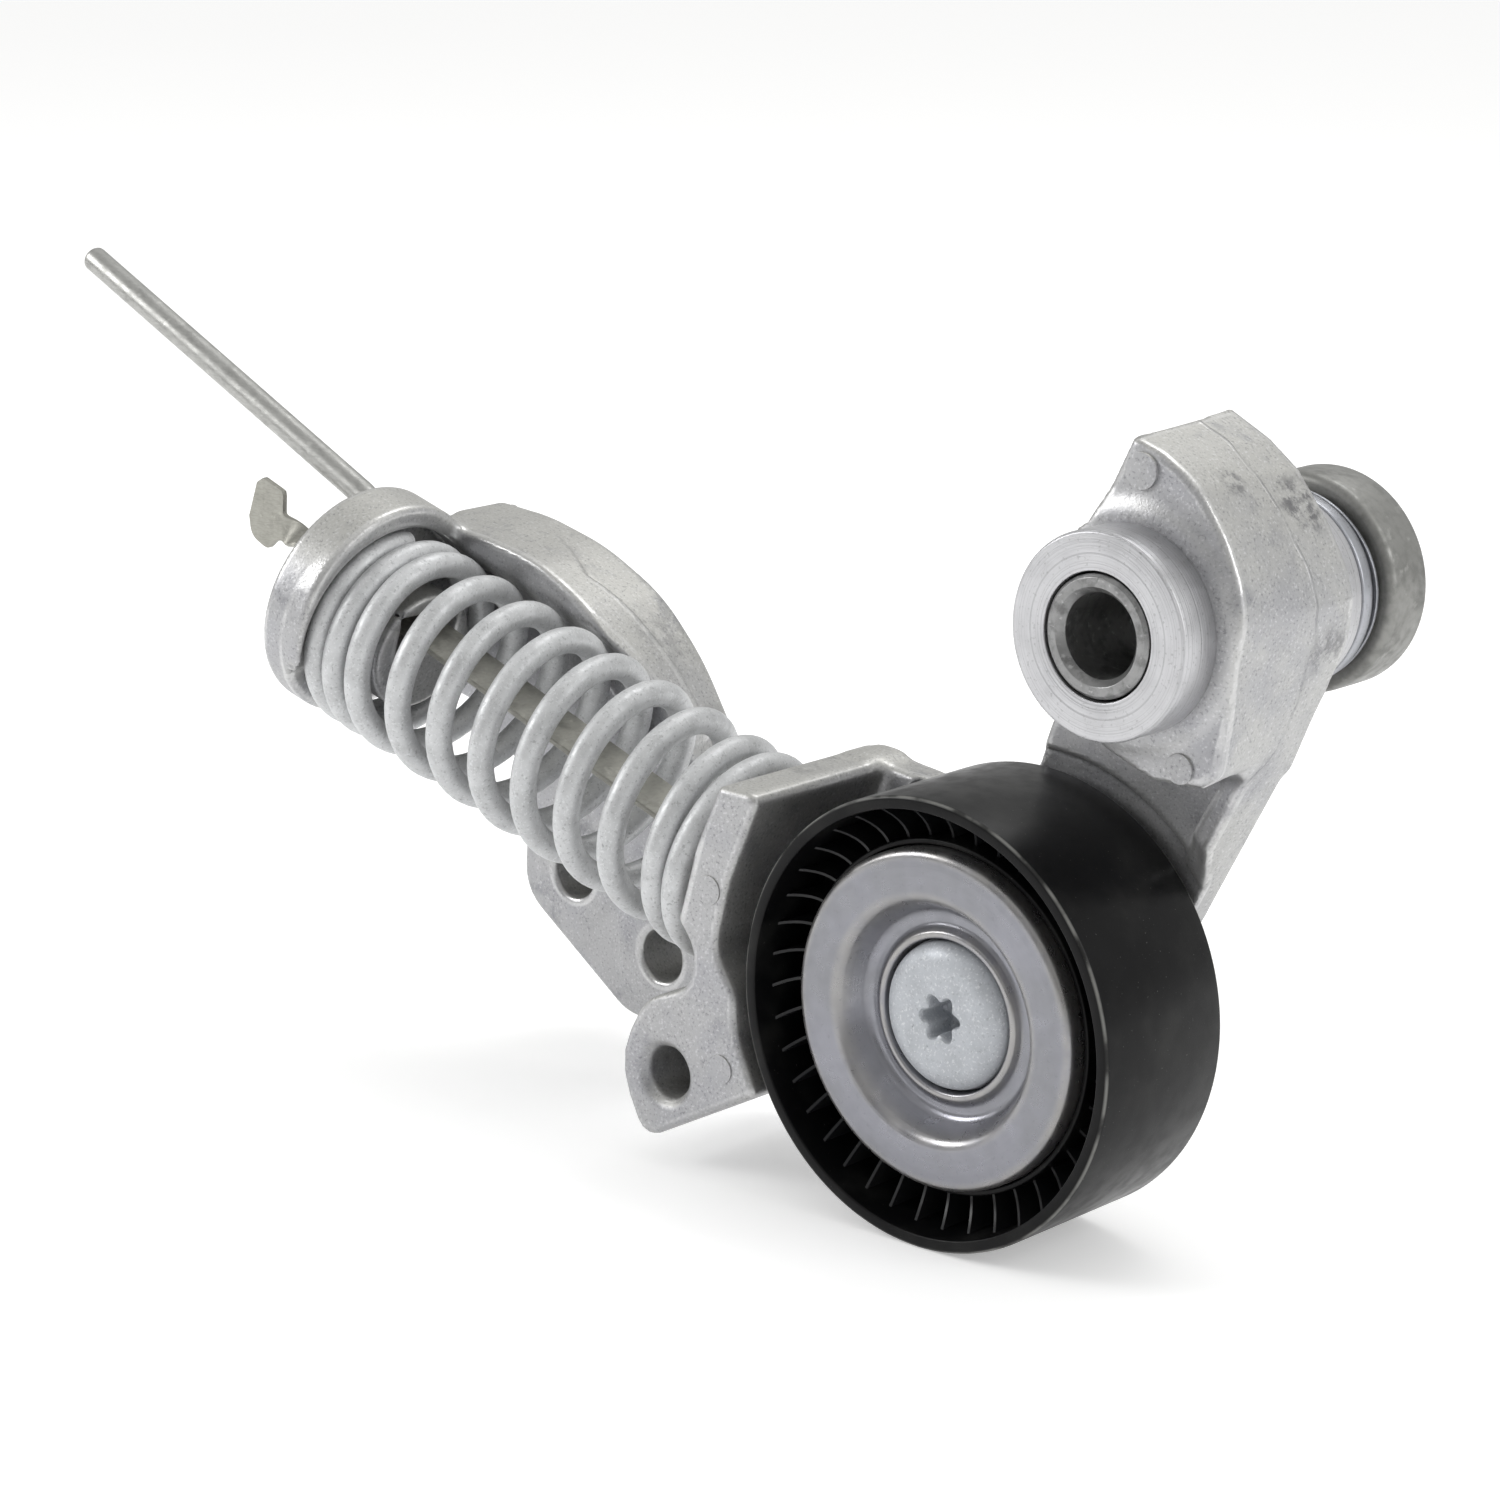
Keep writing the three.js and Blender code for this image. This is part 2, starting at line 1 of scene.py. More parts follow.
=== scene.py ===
# Belt tensioner idler: the detailed look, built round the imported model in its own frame.
#
# Sizes in this script are millimetres in the part's frame (Z up, Y along the pivot and pulley
# axes, the engine on the +Y side) and become metres when a mesh is made.
import math

import bpy
import numpy as np
from mathutils import Matrix, Vector


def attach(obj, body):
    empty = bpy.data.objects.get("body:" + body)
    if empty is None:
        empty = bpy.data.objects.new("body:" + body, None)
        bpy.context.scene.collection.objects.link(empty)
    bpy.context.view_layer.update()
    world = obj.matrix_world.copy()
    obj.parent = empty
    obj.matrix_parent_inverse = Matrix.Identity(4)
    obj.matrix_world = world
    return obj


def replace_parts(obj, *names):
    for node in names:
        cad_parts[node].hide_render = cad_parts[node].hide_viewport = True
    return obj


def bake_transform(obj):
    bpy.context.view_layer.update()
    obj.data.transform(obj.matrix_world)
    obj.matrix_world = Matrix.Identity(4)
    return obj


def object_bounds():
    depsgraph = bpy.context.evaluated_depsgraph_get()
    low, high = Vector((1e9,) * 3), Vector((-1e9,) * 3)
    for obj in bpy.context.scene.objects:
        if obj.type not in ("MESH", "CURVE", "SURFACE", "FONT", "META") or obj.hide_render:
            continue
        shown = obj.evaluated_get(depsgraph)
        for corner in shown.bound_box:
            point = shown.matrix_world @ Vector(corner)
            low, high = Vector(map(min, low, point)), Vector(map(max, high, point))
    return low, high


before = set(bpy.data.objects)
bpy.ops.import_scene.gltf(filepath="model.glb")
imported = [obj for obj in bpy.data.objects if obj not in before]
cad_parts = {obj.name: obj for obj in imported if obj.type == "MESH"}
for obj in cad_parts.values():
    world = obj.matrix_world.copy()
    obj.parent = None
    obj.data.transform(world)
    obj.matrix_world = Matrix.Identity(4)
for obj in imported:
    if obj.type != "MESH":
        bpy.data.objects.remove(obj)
cad_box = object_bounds()

MM = 0.001

# ------ dimensions, as in the CAD

PULLEY = {"x": -28, "z": -59, "front": -56, "rear": -30, "r": 32.5, "inside": 30.6}
PIVOT = {"x": 0, "z": 0}
BEARING = {"y": -41, "half": 6, "outer": 20, "inner": 8.5}
SPRING = {"at": (-154.5, -39.5, -22.9), "tilt": math.radians(17), "r": 14.45, "wire": 4.1}
COILS = {"start": math.radians(82), "turns": 10.6, "open": 2.1, "close": 9.3,
         "closed": 4.2, "active": 9.4}  # turns where the closed ends stop, and both pitches
CUP = {"r": 18.6, "lift": 2.3, "back": -5.7, "lip": 3.2, "bore": 17.2, "hub": 9.8}
SEAT = {"r": 17, "mouth": 71.9, "floor": 86.2}
STRAP = {"at": (-66.5, -39.5, -50.9), "tilt": math.radians(20.4), "half": 4.5, "thick": 0.9}
PIN = {"r": 2.1, "lean": math.radians(35), "station": 102.2, "below": 6.5, "leg": 11.3,
       "bend": 5, "handle": 77.2}
BASE_HOLES = [(-109.4, -73.4, 9.5), (-128.4, -63.3, 8)]  # x, z and the pad's radius
BASE_HOLE_R = 4.25
LOCK_HOLE = {"x": -76.3, "z": -76.8, "r": 4, "flare": 5.3}
BOSS = {"front": -54.4, "r": 14.2, "bush": 9.7, "sleeve": 8.6}

# The planes of the two castings, as y.
PLATE_FRONT, PLATE_REAR, WALL_FRONT = -21, -10, -28
SEAT_FRONT, BLOCK_FRONT, WEB_FRONT, ARM_REAR = -56, -46, -29, -23


# ------ meshes

def rotation_y(angle):
    """The part frame's X axis turned down by angle, about Y."""
    return Matrix.Rotation(angle, 4, "Y")


SPRING_FRAME = Matrix.Translation(SPRING["at"]) @ rotation_y(SPRING["tilt"])
STRAP_FRAME = (
    Matrix.Translation(STRAP["at"]) @ rotation_y(STRAP["tilt"]) @ Matrix.Scale(-1, 4, (1, 0, 0))
)


def moved(points, matrix):
    """Points in a local frame, as an array in the part's frame."""
    m = np.array(matrix)
    return np.asarray(points, float) @ m[:3, :3].T + m[:3, 3]


def make_piece(name, points, faces, body, material, sharp=35):
    """A closed mesh from points in millimetres, which rides on a body."""
    mesh = bpy.data.meshes.new(name)
    mesh.from_pydata((np.asarray(points) * MM).tolist(), [], faces)
    mesh.validate()
    mesh.shade_smooth()
    if sharp:
        mesh.set_sharp_from_angle(angle=math.radians(sharp))
    piece = bpy.data.objects.new(name, mesh)
    bpy.context.scene.collection.objects.link(piece)
    mesh.materials.append(material)
    if body:
        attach(piece, body)
    return piece


def rounded(corners, closed=True, steps=5):
    """A polyline from (a, b) or (a, b, radius) corners, with true arcs at the rounded ones."""
    points = []
    count = len(corners)
    for i, corner in enumerate(corners):
        at = np.array(corner[:2], float)
        radius = corner[2] if len(corner) > 2 else 0
        ends = not closed and i in (0, count - 1)
        if radius <= 0 or ends:
            points.append(at)
            continue
        back = np.array(corners[i - 1][:2], float) - at
        ahead = np.array(corners[(i + 1) % count][:2], float) - at
        lengths = np.linalg.norm(back), np.linalg.norm(ahead)
        back, ahead = back / lengths[0], ahead / lengths[1]
        half = math.acos(max(-1, min(1, float(back @ ahead)))) / 2
        if half > 1.55:
            points.append(at)
            continue
        reach = min(radius / math.tan(half), 0.49 * min(lengths))
        radius = reach * math.tan(half)
        middle = at + (back + ahead) / np.linalg.norm(back + ahead) * radius / math.sin(half)
        first, last = at + back * reach - middle, at + ahead * reach - middle
        turn = math.atan2(first[0] * last[1] - first[1] * last[0], float(first @ last))
        for k in range(steps + 1):
            a = turn * k / steps
            points.append(middle + np.array([
                first[0] * math.cos(a) - first[1] * math.sin(a),
                first[0] * math.sin(a) + first[1] * math.cos(a),
            ]))
    return np.array(points)


def grid_faces(rows, columns, wrap_rows, wrap_columns):
    """Quads that join a grid of rows x columns points."""
    faces = []
    for i in range(rows if wrap_rows else rows - 1):
        for j in range(columns if wrap_columns else columns - 1):
            a, b = i * columns + j, i * columns + (j + 1) % columns
            c, d = ((i + 1) % rows) * columns + (j + 1) % columns, ((i + 1) % rows) * columns + j
            faces.append((a, b, c, d))
    return faces


def outward(points, faces):
    """The same faces, turned so that they face out of the closed body."""
    total = 0.0
    for face in faces:
        a = points[face[0]]
        for i in range(1, len(face) - 1):
            total += float(np.dot(a, np.cross(points[face[i]], points[face[i + 1]])))
    return faces if total > 0 else [tuple(reversed(f)) for f in faces]


def lathe(name, corners, body, material, at=PIVOT, segments=128, local=None, steps=4,
          wave=None):
    """A ring turned about the Y axis through at, from (radius, y, rounding) corners. With local,
    the axis is that frame's X and a corner is (radius, distance, rounding)."""
    profile = rounded(corners, steps=steps)
    angles = np.arange(segments) * 2 * math.pi / segments
    r, along = profile[:, 0][None, :], profile[:, 1][None, :]
    cos, sin = np.cos(angles)[:, None], np.sin(angles)[:, None]
    lift = 0 if wave is None else wave(angles)[:, None]
    if local is None:
        grid = np.stack([at["x"] + r * cos, along + lift + 0 * cos, at["z"] + r * sin], axis=-1)
    else:
        grid = np.stack([along + lift + 0 * cos, r * cos, r * sin], axis=-1)
    points = grid.reshape(-1, 3)
    if local is not None:
        points = moved(points, local)
    faces = grid_faces(segments, len(profile), True, True)
    return make_piece(name, points, outward(points, faces), body, material)


def sweep(path, section, up):
    """A closed body: a section of (side, up) points carried along a path. up gives the section's
    second direction at each path point. Returns points and faces."""
    path, up = np.asarray(path, float), np.asarray(up, float)
    tangent = np.gradient(path, axis=0)
    tangent /= np.linalg.norm(tangent, axis=1)[:, None]
    side = np.cross(up, tangent)
    side /= np.linalg.norm(side, axis=1)[:, None]
    normal = np.cross(tangent, side)
    section = np.asarray(section, float)
    if section.ndim == 2:
        section = np.repeat(section[None], len(path), axis=0)
    points = path[:, None] + section[..., :1] * side[:, None] + section[..., 1:] * normal[:, None]
    rows, columns = points.shape[:2]
    faces = grid_faces(rows, columns, False, True)
    faces.append(tuple(range(columns))[::-1])
    faces.append(tuple(range((rows - 1) * columns, rows * columns)))
    flat = points.reshape(-1, 3)
    return flat, outward(flat, faces)


def circle(r, count):
    """Points round a circle."""
    angles = np.arange(count) * 2 * math.pi / count
    return np.stack([r * np.cos(angles), r * np.sin(angles)], axis=1)


# ------ castings as distance fields

def polygon(x, z, corners):
    """Signed distance from (x, z) to a polygon: negative inside."""
    x, z = np.broadcast_arrays(x, z)
    nearest = np.full(x.shape, np.inf)
    inside = np.zeros(x.shape, bool)
    for (ax, az), (bx, bz) in zip(corners, np.roll(corners, -1, axis=0)):
        ex, ez = bx - ax, bz - az
        wx, wz = x - ax, z - az
        t = np.clip((wx * ex + wz * ez) / (ex * ex + ez * ez + 1e-12), 0, 1)
        nearest = np.minimum(nearest, (wx - t * ex) ** 2 + (wz - t * ez) ** 2)
        crosses = (az > z) != (bz > z)
        inside ^= crosses & (wx < ex * wz / (ez if abs(ez) > 1e-9 else 1e-9))
    return np.sqrt(nearest) * np.where(inside, -1, 1)


def slab(flat, y, front, rear, edge):
    """A flat distance made solid from y front to rear, with edges of that radius."""
    across = np.abs(y - (front + rear) / 2) - (rear - front) / 2 + edge
    flat = flat + edge
    outside = np.sqrt(np.maximum(flat, 0) ** 2 + np.maximum(across, 0) ** 2)
    return np.minimum(np.maximum(flat, across), 0) + outside - edge


def rod(x, y, z, at, r, front, rear, edge=0.5):
    """A round bar along Y."""
    return slab(np.hypot(x - at[0], z - at[1]) - r, y, front, rear, edge)


def blend_join(a, b, fillet):
    """Both bodies, with a fillet where they meet."""
    h = np.maximum(fillet - np.abs(a - b), 0) / fillet
    return np.minimum(a, b) - h * h * fillet / 4


def blend_cut(a, b, edge):
    """Body a without body b, the new edge rounded."""
    return -blend_join(-a, b, edge)


def to_local(x, y, z, matrix):
    """The coordinates of points in a local frame."""
    m = np.array(matrix.inverted())
    return [m[i, 0] * x + m[i, 1] * y + m[i, 2] * z + m[i, 3] for i in range(3)]


def surface_net(field, low, step):
    """Points and quads of the surface where a sampled field is zero."""
    inside = field < 0
    cells = tuple(n - 1 for n in field.shape)
    offset = np.zeros(cells + (3,), np.float32)
    count = np.zeros(cells, np.int16)
    crossings = []
    for axis in range(3):
        u, v = [k for k in range(3) if k != axis]
        first, second = [slice(None)] * 3, [slice(None)] * 3
        first[axis], second[axis] = slice(0, -1), slice(1, None)
        a, b = field[tuple(first)], field[tuple(second)]
        crossing = inside[tuple(first)] != inside[tuple(second)]
        crossings.append((crossing, inside[tuple(first)]))
        t = np.where(crossing, a / np.where(crossing, a - b, 1), 0)
        for du in (0, 1):
            for dv in (0, 1):
                part = [slice(None)] * 3
                part[u], part[v] = slice(du, du + cells[u]), slice(dv, dv + cells[v])
                part = tuple(part)
                hit = crossing[part]
                count += hit
                offset[..., axis] += t[part]
                offset[..., u] += hit * du
                offset[..., v] += hit * dv
    used = count > 0
    where = np.argwhere(used)
    points = np.array(low) + (where + offset[used] / count[used][:, None]) * step
    index = np.full(cells, -1)
    index[used] = np.arange(len(where))
    quads = []
    for axis, (crossing, starts_inside) in enumerate(crossings):
        u, v = [k for k in range(3) if k != axis]
        at = np.argwhere(crossing)
        at = at[(at[:, u] > 0) & (at[:, v] > 0)]
        at = at[(at[:, u] < cells[u]) & (at[:, v] < cells[v])]
        corners = []
        for du, dv in ((1, 1), (0, 1), (0, 0), (1, 0)):
            cell = at.copy()
            cell[:, u] -= du
            cell[:, v] -= dv
            corners.append(index[tuple(cell.T)])
        quad = np.stack(corners, axis=1)
        flip = starts_inside[tuple(at.T)] ^ (axis == 1)
        quad[~flip] = quad[~flip][:, ::-1]
        quads.append(quad)
    return points, np.concatenate(quads)


def gradient(shape, points, reach=0.05):
    """The field's direction of growth at points."""
    slopes = []
    for axis in range(3):
        ahead, behind = points.copy(), points.copy()
        ahead[:, axis] += reach
        behind[:, axis] -= reach
        slopes.append((shape(*ahead.T) - shape(*behind.T)) / (2 * reach))
    return np.stack(slopes, axis=1)


def casting(name, shape, low, high, step, body, material):
    """A cast body from its distance field, with the mesh pulled onto the true surface. Each point
    keeps how proud an edge it lies on and how deep a corner, for the finish's edge wear, its painted
    highlight on edges and its painted shade in corners."""
    axes = [np.arange(low[k], high[k] + step, step) for k in range(3)]
    x, y, z = np.meshgrid(*axes, indexing="ij", sparse=True)
    field = np.broadcast_to(shape(x, y, z), tuple(len(a) for a in axes)).astype(np.float32)
    points, quads = surface_net(field, low, step)
    for _ in range(3):
        slope = gradient(shape, points)
        length = np.maximum(np.sum(slope * slope, axis=1), 0.25)
        shift = slope * (shape(*points.T) / length)[:, None]
        points = points - np.clip(shift, -step / 2, step / 2)
    normal = gradient(shape, points)
    normal /= np.maximum(np.linalg.norm(normal, axis=1), 1e-6)[:, None]
    reach = 1.6
    proud = 1 + shape(*(points - normal * reach).T) / reach
    deep = 1 - shape(*(points + normal * reach).T) / reach
    piece = make_piece(name, points, quads.tolist(), body, material, sharp=0)
    for label, values in (("proud", proud), ("deep", deep)):
        attribute = piece.data.attributes.new(label, "FLOAT", "POINT")
        attribute.data.foreach_set("value", np.clip(values, 0, 1).astype(np.float32))
    return piece


# ------ finishes

class Finish:
    """A principled material made of procedural nodes, in the part's own coordinates."""

    def __init__(self, name, colour, roughness, metallic=0.0):
        self.material = bpy.data.materials.new(name)
        self.material.use_nodes = True
        self.tree = self.material.node_tree
        self.shader = self.tree.nodes["Principled BSDF"]
        self.shader.inputs["Metallic"].default_value = metallic
        self.place = self.tree.nodes.new("ShaderNodeTexCoord").outputs["Object"]
        self.colour = self.rgb(colour)
        self.roughness = self.number(roughness)
        self.height = None

    def link(self, source, socket):
        """Sets a socket from a number or a colour, or joins another node's output to it."""
        if isinstance(source, (int, float)):
            socket.default_value = source
        elif isinstance(source, (tuple, list)):
            socket.default_value = (*source, 1) if len(source) == 3 else source
        else:
            self.tree.links.new(source, socket)

    def rgb(self, colour):
        node = self.tree.nodes.new("ShaderNodeRGB")
        node.outputs[0].default_value = (*colour, 1)
        return node.outputs[0]

    def number(self, value):
        node = self.tree.nodes.new("ShaderNodeValue")
        node.outputs[0].default_value = value
        return node.outputs[0]

    def math(self, operation, a, b=0.0, c=0.0):
        node = self.tree.nodes.new("ShaderNodeMath")
        node.operation = operation
        for socket, value in zip(node.inputs, (a, b, c)):
            self.link(value, socket)
        return node.outputs[0]

    def noise(self, size, detail=3.0, stretch=(1, 1, 1), rough=0.5):
        """Noise with features of that size in millimetres."""
        scaled = self.tree.nodes.new("ShaderNodeVectorMath")
        scaled.operation = "MULTIPLY"
        self.link(self.place, scaled.inputs[0])
        scaled.inputs[1].default_value = stretch
        node = self.tree.nodes.new("ShaderNodeTexNoise")
        node.inputs["Scale"].default_value = 1 / (size * MM)
        node.inputs["Detail"].default_value = detail
        node.inputs["Roughness"].default_value = rough
        self.link(scaled.outputs[0], node.inputs["Vector"])
        return node.outputs["Fac"]

    def ramp(self, value, low, high, to_low=0.0, to_high=1.0):
        """value taken smoothly from low..high to to_low..to_high."""
        node = self.tree.nodes.new("ShaderNodeMapRange")
        node.interpolation_type = "SMOOTHSTEP"
        for name, v in (("Value", value), ("From Min", low), ("From Max", high),
                        ("To Min", to_low), ("To Max", to_high)):
            self.link(v, node.inputs[name])
        return node.outputs["Result"]

    def line_noise(self, value, size):
        """Noise along one value in millimetres, with features of that size."""
        node = self.tree.nodes.new("ShaderNodeTexNoise")
        node.noise_dimensions = "1D"
        node.inputs["Scale"].default_value = 1 / size
        node.inputs["Detail"].default_value = 3
        self.link(value, node.inputs["W"])
        return node.outputs["Fac"]

    def radius(self, centre):
        """The distance from a Y axis through centre, in millimetres."""
        dx, dz = self.axis("X", centre[0]), self.axis("Z", centre[1])
        return self.math("SQRT", self.math("MULTIPLY_ADD", dx, dx, self.math("MULTIPLY", dz, dz)))

    def attribute(self, name):
        """A value that the mesh keeps at each point."""
        node = self.tree.nodes.new("ShaderNodeAttribute")
        node.attribute_name = name
        return node.outputs["Fac"]

    def axis(self, name, origin=0.0):
        """A coordinate of the surface point, in millimetres from origin."""
        node = self.tree.nodes.new("ShaderNodeSeparateXYZ")
        self.link(self.place, node.inputs[0])
        return self.math("MULTIPLY_ADD", node.outputs[name], 1 / MM, -origin)

    def facing(self, direction):
        """How much the surface faces a fixed direction of the part, from -1 to 1."""
        normal = self.tree.nodes.new("ShaderNodeTexCoord").outputs["Normal"]
        node = self.tree.nodes.new("ShaderNodeVectorMath")
        node.operation = "DOT_PRODUCT"
        self.link(normal, node.inputs[0])
        node.inputs[1].default_value = Vector(direction).normalized()
        return node.outputs["Value"]

    def near(self, centre, radius):
        """1 at a point of the part, fading to 0 at radius from it, in millimetres."""
        node = self.tree.nodes.new("ShaderNodeVectorMath")
        node.operation = "DISTANCE"
        self.link(self.place, node.inputs[0])
        node.inputs[1].default_value = Vector(centre) * MM
        return self.ramp(node.outputs["Value"], radius * MM, radius * MM * 0.4)

    def tint(self, amount, colour):
        """Mixes colour in by amount."""
        node = self.tree.nodes.new("ShaderNodeMix")
        node.data_type = "RGBA"
        self.link(amount, node.inputs["Factor"])
        self.link(self.colour, node.inputs["A"])
        self.link(colour, node.inputs["B"])
        self.colour = node.outputs["Result"]

    def polish(self, amount, roughness):
        """Takes the roughness towards a value by amount."""
        node = self.tree.nodes.new("ShaderNodeMix")
        self.link(amount, node.inputs["Factor"])
        self.link(self.roughness, node.inputs["A"])
        self.link(roughness, node.inputs["B"])
        self.roughness = node.outputs["Result"]

    def bump(self, value, depth):
        """Adds value, times depth in millimetres, to the surface's height."""
        raised = self.math("MULTIPLY", value, depth)
        self.height = raised if self.height is None else self.math("ADD", self.height, raised)

    def done(self):
        """Joins colour, roughness and height to the shader."""
        self.link(self.colour, self.shader.inputs["Base Color"])
        self.link(self.roughness, self.shader.inputs["Roughness"])
        if self.height is not None:
            node = self.tree.nodes.new("ShaderNodeBump")
            node.inputs["Distance"].default_value = MM
            node.inputs["Strength"].default_value = 1.0
            self.link(self.height, node.inputs["Height"])
            self.link(node.outputs[0], self.shader.inputs["Normal"])
        return self.material


def cast_finish(name, parting=None, marks=()):
    """Die-cast aluminium: blasted grain with sparkle, bright edges that are partly wear and partly a
    painted highlight, painted shade in hollows, painted light on faces that look up, painted shade on
    faces that look to the front, the line where the die's halves met, and a few scuffs, each (centre,
    radius, darkness)."""
    f = Finish(name, (0.46, 0.46, 0.455), 0.5, 0.72)
    f.tint(f.ramp(f.noise(14, 4, rough=0.6), 0.42, 0.66, 0, 0.65), (0.35, 0.352, 0.375))
    # Painted light: faces that look up are paler and warmer.
    f.tint(f.ramp(f.facing((0, 0, 1)), 0.2, 0.9, 0, 0.7), (0.5, 0.495, 0.465))
    # Painted shade: faces that look to the front are darker and bluer.
    f.tint(f.ramp(f.facing((0, -1, 0)), 0.75, 0.98, 0, 0.35), (0.38, 0.38, 0.41))
    f.tint(f.ramp(f.noise(9, 5, rough=0.7), 0.54, 0.72, 0, 0.6), (0.23, 0.232, 0.25))
    f.tint(f.ramp(f.noise(2.4, 5, rough=0.7), 0.55, 0.72, 0, 0.35), (0.27, 0.27, 0.28))
    grain = f.noise(0.42, 2)
    f.tint(f.ramp(grain, 0.57, 0.72, 0, 0.4), (0.74, 0.74, 0.76))
    f.tint(f.ramp(grain, 0.43, 0.28, 0, 0.55), (0.17, 0.17, 0.18))
    proud = f.attribute("proud")
    # Paler edges: partly wear, partly a painted highlight along the edges.
    edge = f.math("MULTIPLY", f.ramp(proud, 0.14, 0.32), f.ramp(proud, 0.62, 0.48))
    edge_wear_and_highlight = f.math("MULTIPLY", edge, f.ramp(f.noise(4, 4), 0.3, 0.6, 0.3, 1))
    f.tint(f.math("MULTIPLY", edge_wear_and_highlight, 0.4), (0.72, 0.72, 0.715))
    # Painted shade: darker in hollows and corners.
    f.tint(f.ramp(f.attribute("deep"), 0.25, 0.8, 0, 0.6), (0.2, 0.2, 0.21))
    if parting is not None:
        wander = f.math("MULTIPLY_ADD", f.noise(22, 3), 9, -4.5)
        off = f.math("ABSOLUTE", f.math("ADD", f.axis("Y", parting), wander))
        side = f.ramp(f.math("ABSOLUTE", f.facing((0, 1, 0))), 0.6, 0.3)
        broken = f.ramp(f.noise(6, 3), 0.4, 0.6, 0.25, 1)
        line = f.math("MULTIPLY", f.math("MULTIPLY", f.ramp(off, 0.45, 0.1), side), broken)
        f.tint(f.math("MULTIPLY", line, 0.55), (0.24, 0.24, 0.25))
        f.bump(line, 0.12)
    for centre, radius, darkness in marks:
        blotch = f.ramp(f.noise(2.2, 5, rough=0.7), 0.4, 0.6)
        near = f.math("MULTIPLY", f.near(centre, radius), blotch)
        f.tint(f.math("MULTIPLY", near, darkness), (0.09, 0.09, 0.1))
    f.polish(f.ramp(f.noise(5, 4), 0.35, 0.65, 0, 0.5), 0.36)
    f.polish(edge_wear_and_highlight, 0.28)
    f.bump(grain, 0.035)
    f.bump(f.noise(1.6, 3), 0.04)
    f.bump(f.noise(7, 2), 0.1)
    return f.done()


def turned_finish(name, colour, centre, metallic=0.9, roughness=0.3, rings=0.5):
    """Machined metal: uneven turning marks about a Y axis, a few dull and dark spots."""
    f = Finish(name, colour, roughness, metallic)
    radius = f.radius(centre)
    flat = f.ramp(f.math("ABSOLUTE", f.facing((0, 1, 0))), 0.5, 0.9)
    along = f.math("ADD", f.math("MULTIPLY", radius, flat), f.axis("Y"))
    mark = f.line_noise(along, 0.3)
    f.tint(f.ramp(mark, 0.5, 0.7, 0, rings), tuple(c * 0.7 for c in colour))
    f.tint(f.ramp(f.noise(6, 4), 0.45, 0.7, 0, 0.4), tuple(c * 0.72 for c in colour))
    f.tint(f.ramp(f.noise(0.5, 2), 0.6, 0.72, 0, 0.35), (0.2, 0.2, 0.2))
    f.polish(f.ramp(f.noise(2.2, 3), 0.4, 0.62, 0, 0.6), roughness + 0.16)
    f.bump(mark, 0.05)
    return f.done()


def dish_finish(name):
    """Pressed and passivated sheet: smooth violet grey, paler at the bends, partly where it is drawn
    over an edge and partly a painted highlight.
    """
    f = Finish(name, (0.28, 0.282, 0.312), 0.27, 0.85)
    radius = f.radius(PULLEY_AXIS)
    f.tint(f.ramp(f.noise(12, 3), 0.4, 0.65, 0, 0.6), (0.235, 0.238, 0.25))
    inner = f.ramp(f.math("ABSOLUTE", f.math("ADD", radius, -17.4)), 1.5, 0.2)
    outer = f.ramp(radius, 22.6, 24)
    lip = f.ramp(f.math("ABSOLUTE", f.math("ADD", radius, -12)), 1.2, 0.3)
    # Pale bands at the lip and bends: partly rubbing, partly a painted highlight.
    for band, amount in ((inner, 0.45), (outer, 0.6), (lip, 0.6)):
        rubbed = f.math("MULTIPLY", band, f.ramp(f.noise(3, 4), 0.25, 0.6, 0.4, 1))
        f.tint(f.math("MULTIPLY", rubbed, amount), (0.42, 0.405, 0.38))
    f.tint(f.ramp(f.noise(0.7, 3), 0.62, 0.72, 0, 0.3), (0.2, 0.2, 0.22))
    f.polish(f.ramp(f.noise(2, 4), 0.35, 0.7), 0.4)
    f.bump(f.noise(0.6, 2), 0.008)
    f.bump(f.line_noise(radius, 0.8), 0.03)
    return f.done()


def flake_finish(name, colour, roughness=0.5, metallic=0.35, freckles=0.5):
    """Zinc flake coating: pale, satin, freckled with dark specks and rubbed spots."""
    f = Finish(name, colour, roughness, metallic)
    f.tint(f.ramp(f.noise(3.5, 4), 0.4, 0.68, 0, freckles), tuple(c * 0.72 for c in colour))
    speck, spot = tuple(c * 0.42 for c in colour), tuple(c * 0.3 for c in colour)
    f.tint(f.ramp(f.noise(0.55, 3, rough=0.6), 0.56, 0.7, 0, freckles), speck)
    f.tint(f.ramp(f.noise(1.6, 5, rough=0.75), 0.62, 0.72, 0, 0.65), spot)
    f.tint(f.ramp(f.noise(0.4, 2), 0.45, 0.3, 0, 0.5), (0.75, 0.76, 0.77))
    f.polish(f.ramp(f.noise(1.2, 4), 0.4, 0.6, 0, 0.6), roughness + 0.2)
    f.bump(f.noise(0.5, 3), 0.035)
    f.bump(f.noise(2.5, 2), 0.05)
    return f.done()


def steel_finish(name, colour, roughness=0.32, metallic=0.9, stretch=(1, 1, 1), stain=0.5,
                 mottle=4):
    """Bare or thinly plated steel, rolled or drawn along one direction, with a dull patina in
    patches of mottle millimetres."""
    f = Finish(name, colour, roughness, metallic)
    streak = f.noise(1.2, 4, stretch)
    f.tint(f.ramp(streak, 0.4, 0.7, 0, 0.45), tuple(c * 0.7 for c in colour))
    dull = tuple(c * 0.45 for c in colour)
    bright = tuple(min(c * 1.7, 0.85) for c in colour)
    f.tint(f.ramp(f.noise(mottle, 5, rough=0.65), 0.48, 0.66, 0, stain), dull)
    f.tint(f.ramp(f.noise(mottle * 0.4, 4), 0.6, 0.72, 0, stain), bright)
    f.polish(f.ramp(f.noise(2.5, 4), 0.35, 0.7), roughness + 0.18)
    f.bump(streak, 0.012)
    f.bump(f.noise(0.35, 2), 0.008)
    return f.done()


